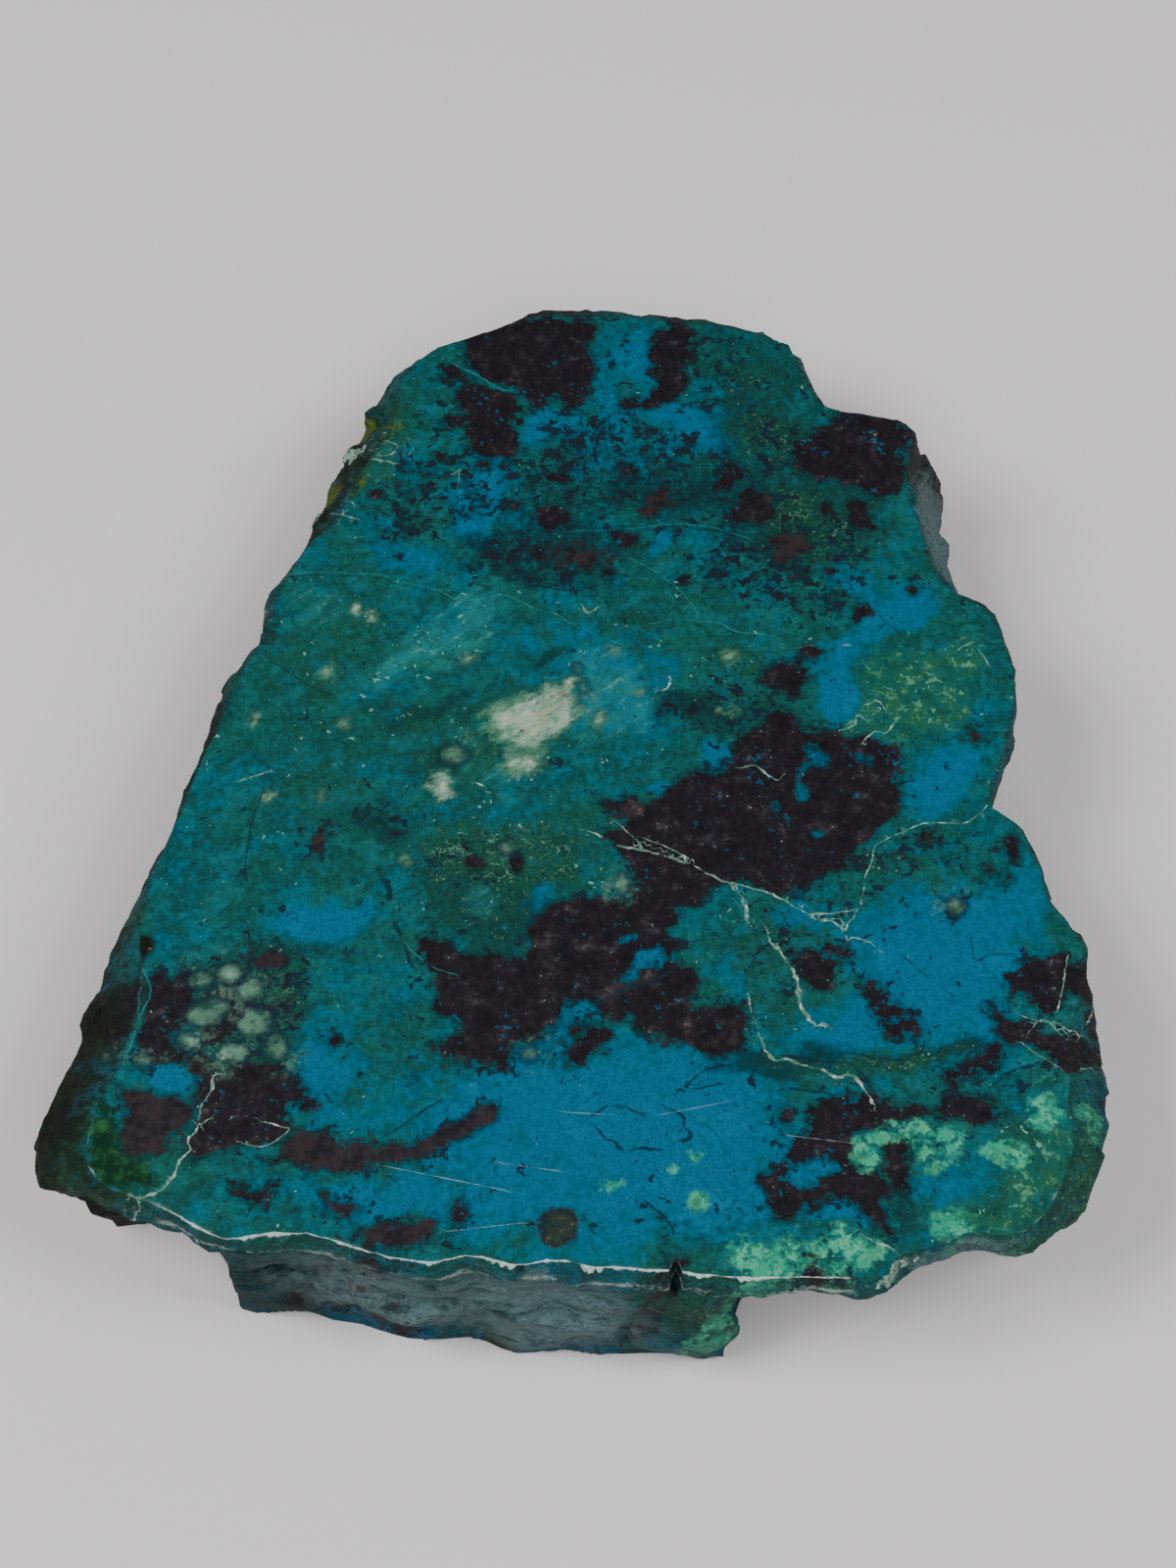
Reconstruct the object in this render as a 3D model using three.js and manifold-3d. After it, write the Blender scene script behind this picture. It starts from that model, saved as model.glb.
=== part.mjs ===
// A slab of rough turquoise: one stone, with a sawn and polished upper face, walls left as they
// broke, and a flat sawn base. Millimetres, +Z up. The origin is the middle of the base.
import * as THREE from 'three';
import Module from 'manifold-3d';
import { mergeVertices } from 'three/addons/utils/BufferGeometryUtils.js';
import { ImprovedNoise } from 'three/addons/math/ImprovedNoise.js';

// Driving dimensions
const THICKNESS = 8;          // from the base to the polished face
const DRAWN_MIDDLE = [-0.43, -0.2]; // the middle of the stone's box, on the plan drawn below
const EDGE_SAMPLES = 236;     // steps around the stone, about 0.7 mm each
const NORMAL_REACH = 5;       // steps to each side that the outward direction is taken over
const EDGE_NIBBLE = 0.07;     // unevenness of the polished face's edge
const EDGE_NIBBLE_SIZE = 1.1; // and the distance from one nibble to the next
const SCAR_SIZE = 4.4;        // a flake scar on the broken walls, from one to the next
const SCAR_SQUASH = 1.35;     // how much wider than tall a scar is
const SCAR_DEPTH = 0.95;      // from a scar's hollow to the ridges around it
const ROUGH_DEPTH = 0.16;     // the finer unevenness of a break
const ROUGH_SIZE = 1.5;
const RINGS_PER_STEP = 2;     // rings of vertices to each step of a wall
const STEP_WANDER = 0.25;     // how far the steps of a wall wander up and down
const STEP_WANDER_SIZE = 4.2;
const STEP_CRAG = [0.2, 0.45, 0.9, 1, 1, 1, 0.9, 0.5]; // share of the break's relief at each step
const EGG_DEPTH = 3;          // an egg that cuts a hollow is this many times as deep as the hollow
const EGG_LARGE = 1.5;        // an egg longer than this each way has more facets

// How each kind of wall runs down from the polished face, step by step:
// [reach out from the face's edge, depth as a share of the thickness].
const WALLS = {
  // the sheer front: a narrow chamfer, a hollow brow, a ledge at half height
  front: [
    [0.5, 0.07], [0.45, 0.17], [0.3, 0.3], [0.15, 0.45], [0.6, 0.52], [0.65, 0.68], [0.55, 0.85], [0.4, 1],
  ],
  // the block that stands forward at the foot of the front
  frontBlock: [
    [0.42, 0.06], [0.5, 0.17], [0.5, 0.3], [0.55, 0.45], [0.9, 0.53], [1.1, 0.68], [1.15, 0.85], [0.9, 1],
  ],
  // the front corners, where a thin rim overhangs
  overhang: [
    [0.3, 0.05], [0.45, 0.13], [-0.3, 0.24], [-1.3, 0.38], [-2.2, 0.52], [-3, 0.69], [-3.6, 0.86], [-4, 1],
  ],
  // the weathered rind at the left, a broad dark slope
  rind: [
    [1.4, 0.06], [2.45, 0.15], [2.6, 0.28], [2.2, 0.43], [1.9, 0.54], [1.3, 0.69], [0.7, 0.85], [0.1, 1],
  ],
  // the long left side
  side: [
    [0.4, 0.05], [0.75, 0.14], [0.85, 0.28], [0.7, 0.43], [0.85, 0.53], [0.6, 0.69], [0.3, 0.85], [0, 1],
  ],
  // the knobbly crust of the upper left shoulder
  crust: [
    [1.0, 0.05], [1.8, 0.14], [2.1, 0.27], [2.0, 0.42], [2.1, 0.53], [1.7, 0.69], [1.3, 0.85], [0.9, 1],
  ],
  // the back, with a thin lip under the face
  back: [
    [0.75, 0.05], [0.85, 0.15], [0.6, 0.29], [0.3, 0.43], [0.5, 0.53], [0.2, 0.68], [-0.1, 0.85], [-0.5, 1],
  ],
  // the bite out of the back and the short runs beside it
  bite: [
    [0.3, 0.05], [0.4, 0.16], [0.35, 0.3], [0.3, 0.45], [0.5, 0.53], [0.4, 0.69], [0.2, 0.85], [-0.1, 1],
  ],
  // the pale wall at the upper right, which leans out
  leaning: [
    [0.4, 0.05], [0.85, 0.16], [1.4, 0.3], [1.85, 0.44], [2.15, 0.54], [2.35, 0.69], [2.4, 0.85], [2.1, 1],
  ],
  // the right side, close to sheer
  right: [
    [0.2, 0.03], [0.25, 0.15], [0.1, 0.29], [-0.1, 0.43], [0.1, 0.53], [-0.3, 0.69], [-0.7, 0.85], [-1.2, 1],
  ],
  // the rounded shoulder at the lower right
  shoulder: [
    [0.95, 0.04], [1.7, 0.13], [1.8, 0.25], [1.4, 0.4], [1.1, 0.53], [0.5, 0.69], [-0.3, 0.85], [-1.0, 1],
  ],
};

// The edge of the polished face, anticlockwise from the front left corner, one stretch for each
// kind of wall below it. A point is where the edge turns: [x, y, share of the wall's reach], with
// the whole reach where no share is given.
const STRETCHES = [
  { wall: 'overhang', points: [[-21.1, -22.0], [-19.6, -22.75], [-18.2, -23.3], [-16.9, -24.0]] },
  {
    wall: 'front',
    points: [
      [-15.2, -24.7, 0.8], [-13.6, -24.5], [-12.4, -24.4], [-10.5, -24.9], [-8.1, -25.6], [-6.5, -25.8],
    ],
  },
  {
    wall: 'frontBlock',
    points: [
      [-5.0, -25.5, 0.6], [-3.0, -25.9, 0.8], [-1.6, -25.7], [0.5, -26.0], [3.0, -26.1, 0.8],
      [5.6, -26.45, 0.7],
    ],
  },
  {
    wall: 'overhang',
    points: [
      [7.3, -26.5], [9.0, -26.45], [10.8, -26.5], [12.6, -26.3], [13.8, -25.4], [15.0, -25.0],
      [16.2, -24.4], [17.4, -24.6], [18.6, -24.4], [19.6, -23.4],
    ],
  },
  {
    wall: 'shoulder',
    points: [
      [20.4, -21.9, 0.5], [21.0, -20.2, 0.75], [20.9, -18.4], [21.1, -16.4], [21.3, -14.6, 0.9],
      [21.9, -12.8, 0.5],
    ],
  },
  {
    wall: 'right',
    points: [
      [22.1, -10.9], [21.6, -9.4], [20.8, -8.2], [20.5, -6.6], [20.0, -5.0], [19.5, -3.9], [18.6, -3.4],
      [18.5, -2.5], [18.95, -1.2], [19.4, 0.3], [19.9, 1.9], [20.1, 3.5], [19.9, 5.2], [19.5, 6.8],
      [18.9, 7.9], [18.0, 8.5],
    ],
  },
  {
    wall: 'leaning',
    points: [
      [17.3, 9.2, 0.6], [16.5, 10.3], [16.3, 12.0], [15.8, 14.2], [15.65, 16.4], [15.9, 17.8],
      [16.2, 18.7, 0.6],
    ],
  },
  {
    wall: 'bite',
    points: [
      [15.2, 19.4], [13.4, 19.85], [12.3, 19.95], [11.6, 20.4], [11.0, 21.7], [10.5, 23.0], [10.3, 24.1],
    ],
  },
  {
    wall: 'back',
    points: [
      [9.1, 24.7, 0.5], [7.2, 25.3, 0.5], [4.9, 25.7, 0.7], [2.7, 26.0], [0.0, 26.1], [-2.4, 26.05, 0.9],
      [-4.0, 25.6, 0.4], [-5.6, 24.8, 0.3], [-7.1, 24.3, 0.3],
    ],
  },
  {
    wall: 'crust',
    points: [
      [-8.5, 23.2, 0.2], [-9.3, 21.9, 0.55], [-9.45, 20.2, 0.9], [-9.8, 18.5], [-10.8, 16.6],
      [-11.4, 14.7], [-12.2, 13.1, 0.8],
    ],
  },
  {
    wall: 'side',
    points: [
      [-13.5, 11.8, 0.7], [-14.2, 10.3, 0.7], [-14.8, 9.0], [-15.1, 7.4], [-15.4, 6.0], [-16.0, 4.9],
      [-16.7, 3.3], [-17.2, 1.3], [-17.9, -0.8, 0.8], [-18.5, -2.8, 0.6], [-19.1, -4.8, 0.6],
      [-19.7, -6.8, 0.6], [-20.0, -8.8, 0.8],
    ],
  },
  {
    wall: 'rind',
    points: [
      [-20.1, -10.8, 0.65], [-19.6, -12.7, 0.95], [-19.9, -14.5], [-20.5, -16.5], [-21.2, -18.4],
      [-21.6, -20.5, 0.8],
    ],
  },
];

// Hollows left by flakes and chips, each by the middle of its mouth, the way the mouth faces
// (degrees anticlockwise from +X), and its width, height and depth.
const FLAKES = [
  { at: [-14.1, -25.2, 7.1], facing: 268, wide: 3.4, tall: 0.6, deep: 0.35 },  // under the chamfer
  { at: [-2.0, -26.6, 4.1], facing: 267, wide: 7.0, tall: 0.45, deep: 0.5 },   // the crack at the ledge
  { at: [3.7, -26.5, 7.7], facing: 270, wide: 0.8, tall: 2.0, deep: 0.9 },     // the bite in the front edge
  { at: [1.6, -27.0, 2.4], facing: 262, wide: 0.9, tall: 4.2, deep: 0.5 },     // the cleft beside the block
  { at: [13.5, -25.9, 7.9], facing: 295, wide: 2.0, tall: 1.5, deep: 0.5 },    // the chipped right corner
  { at: [16.2, -25.0, 7.3], facing: 265, wide: 2.6, tall: 1.1, deep: 0.3 },
  { at: [-15.3, 6.3, 8.0], facing: 164, wide: 1.1, tall: 1.6, deep: 0.5 },     // the pit in the left edge
];

// Lumps that stand out of the stone, given in the same way, with how proud each one stands.
const LUMPS = [
  { at: [-10.6, 20.0, 7.15], facing: 150, wide: 1.5, tall: 1.2, proud: 0.75 }, // the knobs of the crust
  { at: [-11.6, 15.8, 7.2], facing: 150, wide: 2.2, tall: 1.0, proud: 0.6 },
  { at: [-11.6, 18.1, 6.5], facing: 160, wide: 1.7, tall: 1.3, proud: 0.6 },
  { at: [-13.0, 13.8, 6.9], facing: 155, wide: 1.5, tall: 1.2, proud: 0.5 },
  { at: [4.0, -26.5, 2.6], facing: 268, wide: 5.4, tall: 5.0, proud: 0.85 },   // the toe of the block
  { at: [11.6, -26.4, 7.0], facing: 275, wide: 2.2, tall: 1.2, proud: 0.5 },
  { at: [-23.2, -18.6, 6.2], facing: 170, wide: 2.8, tall: 1.2, proud: 0.5 },  // swellings of the rind
  { at: [-22.0, -13.2, 6.5], facing: 160, wide: 3.0, tall: 1.1, proud: 0.4 },
];

const STONE_MATERIAL = new THREE.MeshStandardMaterial({ color: 0x0c7080, roughness: 0.34, metalness: 0 });

const wasm = await Module();
wasm.setup();
const noise = new ImprovedNoise();

// Smooth unevenness at a place in the stone, about -1 to 1, its swells one size apart.
function unevenness(x, y, z, size) {
  return 1.6 * noise.noise(x / size + 11.3, y / size + 5.7, z / size + 2.9);
}

// A number from 0 to 1 for one cell of a grid, the same each time.
function cellNumber(column, row, layer, salt) {
  const wave = Math.sin(column * 127.1 + row * 311.7 + layer * 74.7 + salt * 53.9) * 43758.5453;
  return wave - Math.floor(wave);
}

// The relief of flake scars: hollow around the nearest of a scatter of points, one to a cell, and
// ridged halfway between two. About -0.5 to 0.5.
function scarRelief(x, y, z) {
  const place = [x / SCAR_SIZE, y / SCAR_SIZE, (z * SCAR_SQUASH) / SCAR_SIZE];
  const cell = place.map(Math.floor);
  const around = [-1, 0, 1];
  let nearest = Infinity;
  for (const i of around) {
    for (const j of around) {
      for (const k of around) {
        const corner = [cell[0] + i, cell[1] + j, cell[2] + k];
        const gaps = corner.map((c, axis) => c + cellNumber(...corner, axis) - place[axis]);
        nearest = Math.min(nearest, gaps[0] ** 2 + gaps[1] ** 2 + gaps[2] ** 2);
      }
    }
  }
  return Math.min(nearest, 1) * 1.4 - 0.5;
}

// The steps of one kind of wall, with only a share of its reach outwards.
function wallWithShare(wall, share) {
  return WALLS[wall].map(([reach, depth]) => [reach * share, depth]);
}

// The polished face's edge as one closed curve, with the wall under each of its points.
function edgeOfFace() {
  const stations = STRETCHES.flatMap(({ wall, points }) =>
    points.map(([x, y, share = 1]) => ({ x, y, wall: wallWithShare(wall, share) })),
  );
  const curve = new THREE.CatmullRomCurve3(
    stations.map(({ x, y }) => new THREE.Vector3(x, y, 0)),
    true,
    'centripetal',
  );
  return { stations, curve };
}

// The steps of the wall under a place on the edge, blended between its two nearest stations.
function wallBelow(stations, place) {
  const before = Math.floor(place) % stations.length;
  const after = (before + 1) % stations.length;
  const share = THREE.MathUtils.smoothstep(place - Math.floor(place), 0, 1);
  const next = stations[after].wall;
  return stations[before].wall.map(([reach, depth], step) => [
    THREE.MathUtils.lerp(reach, next[step][0], share),
    THREE.MathUtils.lerp(depth, next[step][1], share),
  ]);
}

// Samples around the edge: the point, the direction out of the stone, and the wall below.
function sampleEdge() {
  const { stations, curve } = edgeOfFace();
  const places = Array.from({ length: EDGE_SAMPLES }, (_, i) => curve.getUtoTmapping(i / EDGE_SAMPLES));
  const points = places.map((t) => curve.getPoint(t));
  return points.map((point, i) => {
    const ahead = points[(i + NORMAL_REACH) % EDGE_SAMPLES];
    const behind = points[(i - NORMAL_REACH + EDGE_SAMPLES) % EDGE_SAMPLES];
    const out = new THREE.Vector2(ahead.y - behind.y, behind.x - ahead.x).normalize();
    return { x: point.x, y: point.y, out, wall: wallBelow(stations, places[i] * stations.length) };
  });
}

// One vertex of the wall, at a place between two of its steps: pushed out by their reach and by
// the relief of the break.
function wallVertex({ x, y, out, wall }, place) {
  const step = Math.min(Math.floor(place), wall.length - 2);
  const between = (from, to) => THREE.MathUtils.lerp(from, to, place - step);
  const reach = between(wall[step][0], wall[step + 1][0]);
  const crag = between(STEP_CRAG[step], STEP_CRAG[step + 1]);
  const level = THICKNESS * (1 - between(wall[step][1], wall[step + 1][1]));
  const inside = place > 0 && place < wall.length - 1;
  const wander = inside ? STEP_WANDER * unevenness(x, y, place * 2.3, STEP_WANDER_SIZE) : 0;
  const relief = SCAR_DEPTH * scarRelief(x, y, level) + ROUGH_DEPTH * unevenness(x, y, level, ROUGH_SIZE);
  const push = reach + crag * relief;
  return [x + out.x * push, y + out.y * push, level + wander];
}

// The stone before it is chipped: rings of vertices from the polished face down to the base.
function blankStone() {
  const samples = sampleEdge();
  const rings = [
    samples.map(({ x, y, out }) => {
      const nibble = EDGE_NIBBLE * unevenness(x, y, THICKNESS, EDGE_NIBBLE_SIZE);
      return [x + out.x * nibble, y + out.y * nibble, THICKNESS];
    }),
  ];
  const wallRings = (STEP_CRAG.length - 1) * RINGS_PER_STEP;
  for (let ring = 0; ring <= wallRings; ring += 1) {
    rings.push(samples.map((sample) => wallVertex(sample, ring / RINGS_PER_STEP)));
  }
  const index = [];
  for (let ring = 0; ring < rings.length - 1; ring += 1) {
    for (let i = 0; i < EDGE_SAMPLES; i += 1) {
      const next = (i + 1) % EDGE_SAMPLES;
      const a = ring * EDGE_SAMPLES + i;
      const b = ring * EDGE_SAMPLES + next;
      const c = a + EDGE_SAMPLES;
      const d = b + EDGE_SAMPLES;
      index.push(a, c, b, b, c, d);
    }
  }
  index.push(...capTriangles(rings[0], 0, false));
  index.push(...capTriangles(rings.at(-1), (rings.length - 1) * EDGE_SAMPLES, true));
  const geometry = new THREE.BufferGeometry();
  geometry.setAttribute('position', new THREE.Float32BufferAttribute(rings.flat(2), 3));
  geometry.setIndex(index);
  return geometry;
}

// Triangles across a flat ring: facing up, or down where it is the base.
function capTriangles(ring, firstIndex, facingDown) {
  const outline = ring.map(([x, y]) => new THREE.Vector2(x, y));
  return THREE.ShapeUtils.triangulateShape(outline, []).flatMap(([a, b, c]) => {
    const corners = facingDown ? [a, c, b] : [a, b, c];
    return corners.map((corner) => corner + firstIndex);
  });
}

// A closed mesh as a solid that can be cut and joined.
function toSolid(geometry) {
  const bare = geometry.clone();
  bare.deleteAttribute('normal');
  bare.deleteAttribute('uv');
  const merged = mergeVertices(bare, 1e-5);
  const vertProperties = new Float32Array(merged.attributes.position.array);
  const triVerts = new Uint32Array(merged.index.array);
  return new wasm.Manifold(new wasm.Mesh({ numProp: 3, vertProperties, triVerts }));
}

// An egg of flat facets, lying against the wall: half sizes along it, into it and up it.
function egg([x, y, z], facing, along, into, up) {
  const geometry = new THREE.IcosahedronGeometry(1, along > EGG_LARGE ? 3 : 2);
  geometry.scale(along, into, up);
  geometry.rotateZ(THREE.MathUtils.degToRad(facing - 90));
  geometry.translate(x, y, z);
  return toSolid(geometry);
}

// The egg that leaves a hollow of a given mouth and depth, its middle outside the stone.
function flake({ at: [x, y, z], facing, wide, tall, deep }) {
  const into = EGG_DEPTH * deep;
  const mouth = Math.sqrt(1 - (1 - 1 / EGG_DEPTH) ** 2);
  const angle = THREE.MathUtils.degToRad(facing);
  const away = into - deep;
  const middle = [x + away * Math.cos(angle), y + away * Math.sin(angle), z];
  return egg(middle, facing, wide / 2 / mouth, into, tall / 2 / mouth);
}

// The egg that stands out as a lump, its middle on the wall.
function lump({ at, facing, wide, tall, proud }) {
  return egg(at, facing, wide / 2, proud, tall / 2);
}

// The finished stone, moved from its plan so that the middle of its box is over the origin.
function stoneGeometry() {
  let solid = toSolid(blankStone());
  for (const one of LUMPS) {
    solid = solid.add(lump(one));
  }
  for (const one of FLAKES) {
    solid = solid.subtract(flake(one));
  }
  const { vertProperties, triVerts } = solid.getMesh();
  const geometry = new THREE.BufferGeometry();
  geometry.setAttribute('position', new THREE.Float32BufferAttribute(vertProperties, 3));
  geometry.setIndex(Array.from(triVerts));
  geometry.translate(-DRAWN_MIDDLE[0], -DRAWN_MIDDLE[1], 0);
  geometry.computeVertexNormals();
  return geometry;
}

const stone = new THREE.Mesh(stoneGeometry(), STONE_MATERIAL);
stone.name = 'turquoise_slab';

const roughTurquoise = new THREE.Group();
roughTurquoise.add(stone);

export default roughTurquoise;
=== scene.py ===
"""Rough turquoise: a sawn and polished slab of blue-green copper stone, on a pale floor.

The stone is one piece. Its polished face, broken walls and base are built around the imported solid,
and the patches, veins and clouds of colour that run through it are drawn on a plan of the face, in
millimetres, with +X to the right and +Y away from the front edge.
"""

import logging
import math
from collections import Counter
from dataclasses import dataclass, field
from enum import Enum

import bmesh
import bpy
import numpy as np
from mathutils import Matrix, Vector, kdtree, noise
from mathutils.geometry import delaunay_2d_cdt


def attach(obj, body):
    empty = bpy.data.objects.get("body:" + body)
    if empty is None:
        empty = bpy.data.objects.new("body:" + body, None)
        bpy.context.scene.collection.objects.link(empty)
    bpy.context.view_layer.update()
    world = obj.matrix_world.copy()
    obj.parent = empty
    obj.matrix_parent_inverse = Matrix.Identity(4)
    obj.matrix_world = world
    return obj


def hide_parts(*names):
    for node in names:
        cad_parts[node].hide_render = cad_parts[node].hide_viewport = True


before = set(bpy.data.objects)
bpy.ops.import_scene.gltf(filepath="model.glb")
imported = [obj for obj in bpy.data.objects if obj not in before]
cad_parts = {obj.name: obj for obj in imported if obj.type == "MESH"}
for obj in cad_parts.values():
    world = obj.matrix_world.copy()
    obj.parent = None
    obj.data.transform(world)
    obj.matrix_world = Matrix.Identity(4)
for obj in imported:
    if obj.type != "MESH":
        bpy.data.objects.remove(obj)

MM = 0.001
THICKNESS = 8.0
DRAWN_MIDDLE = (-0.43, -0.2)
log = logging.getLogger("rough_turquoise")

Point = tuple[float, float]


class Mark(Enum):
    """What a mark in the stone is. The value names the mesh attribute that carries it."""

    OXIDE = "oxide"
    RUST = "rust"
    MALACHITE = "malachite"
    MINT = "mint"
    CREAM = "cream"
    PEBBLE = "pebble"
    CRUST = "crust"
    GRASS = "grass_green"
    MOSS = "moss"
    RIND = "rind"
    CREAM_VEIN = "cream_vein"
    PALE_VEIN = "pale_vein"
    CRACK = "crack"
    SCRATCH = "scratch"
    STAINING = "ochre_stain"
    LIME = "lime_crust"
    SULPHUR = "yellow_crust"
    BLUE = "blue"
    MURK = "murk"
    OLIVE = "olive"
    VEIL = "veil"
    SPECKS = "specks"
    RUSTING = "rusting"
    MINTING = "minting"
    GREY_BREAK_AND_SHEEN = "grey_break_and_sheen"
    SKIN = "skin"
    RIM = "rim"
    RIM_WEAR_AND_HIGHLIGHT = "rim_wear_and_highlight"


SHAPES = (
    Mark.OXIDE, Mark.RUST, Mark.MALACHITE, Mark.MINT, Mark.CREAM, Mark.PEBBLE, Mark.CRUST, Mark.GRASS, Mark.MOSS, Mark.RIND,
)
LINES = (Mark.CREAM_VEIN, Mark.PALE_VEIN, Mark.CRACK, Mark.SCRATCH)


def linear(red: int, green: int, blue: int) -> tuple[float, float, float, float]:
    """Turn a colour as the eye names it, 0 to 255, into the shader's linear colour.

    Args:
        red: Red part.
        green: Green part.
        blue: Blue part.

    Returns:
        The linear colour with full alpha.
    """
    parts = []
    for part in (red, green, blue):
        share = part / 255
        parts.append(share / 12.92 if share <= 0.04045 else ((share + 0.055) / 1.055) ** 2.4)
    return (*parts, 1.0)


class Sock:
    """A shader value that takes part in Python expressions, each operator adding a Math node."""

    def __init__(self, tree: bpy.types.NodeTree, socket: bpy.types.NodeSocket) -> None:
        """Wrap an output socket of a tree."""
        self.tree = tree
        self.socket = socket

    def maths(self, operation: str, *values: "Sock | float") -> "Sock":
        """Add a Math node.

        Args:
            operation: The node's operation.
            values: Its inputs in order, wrapped sockets or numbers.

        Returns:
            The node's result.
        """
        made = self.tree.nodes.new("ShaderNodeMath")
        made.operation = operation
        for slot, value in zip(made.inputs, values):
            plug(self.tree, slot, value)
        return Sock(self.tree, made.outputs[0])

    def __add__(self, other: "Sock | float") -> "Sock":
        """Sum."""
        return self.maths("ADD", self, other)

    def __sub__(self, other: "Sock | float") -> "Sock":
        """Difference."""
        return self.maths("SUBTRACT", self, other)

    def __rsub__(self, other: float) -> "Sock":
        """Difference from a number."""
        return self.maths("SUBTRACT", other, self)

    def __mul__(self, other: "Sock | float") -> "Sock":
        """Product."""
        return self.maths("MULTIPLY", self, other)

    def __truediv__(self, other: "Sock | float") -> "Sock":
        """Quotient."""
        return self.maths("DIVIDE", self, other)

    def __pow__(self, power: float) -> "Sock":
        """Power."""
        return self.maths("POWER", self, power)

    def __abs__(self) -> "Sock":
        """Size without its sign."""
        return self.maths("ABSOLUTE", self)

    __radd__ = __add__
    __rmul__ = __mul__

    def most(self, other: "Sock | float") -> "Sock":
        """Return the larger of two values."""
        return self.maths("MAXIMUM", self, other)

    def least(self, other: "Sock | float") -> "Sock":
        """Return the smaller of two values."""
        return self.maths("MINIMUM", self, other)

    def ramp(self, low: float, high: float) -> "Sock":
        """Rise smoothly from 0 to 1 between two values, or fall where low is over high.

        Args:
            low: Where the result is 0.
            high: Where the result is 1.

        Returns:
            A mask from 0 to 1.
        """
        made = self.tree.nodes.new("ShaderNodeMapRange")
        made.interpolation_type = "SMOOTHSTEP"
        start, end = (low, high) if low < high else (high, low)
        floor, top = (0.0, 1.0) if low < high else (1.0, 0.0)
        for slot, value in zip(made.inputs, (self, start, end, floor, top)):
            plug(self.tree, slot, value)
        return Sock(self.tree, made.outputs[0])


def plug(tree: bpy.types.NodeTree, slot: bpy.types.NodeSocket, value: object) -> None:
    """Link a wrapped socket to a slot, or set the slot to a plain value."""
    if isinstance(value, Sock):
        tree.links.new(value.socket, slot)
    elif value is not None:
        slot.default_value = value


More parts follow.
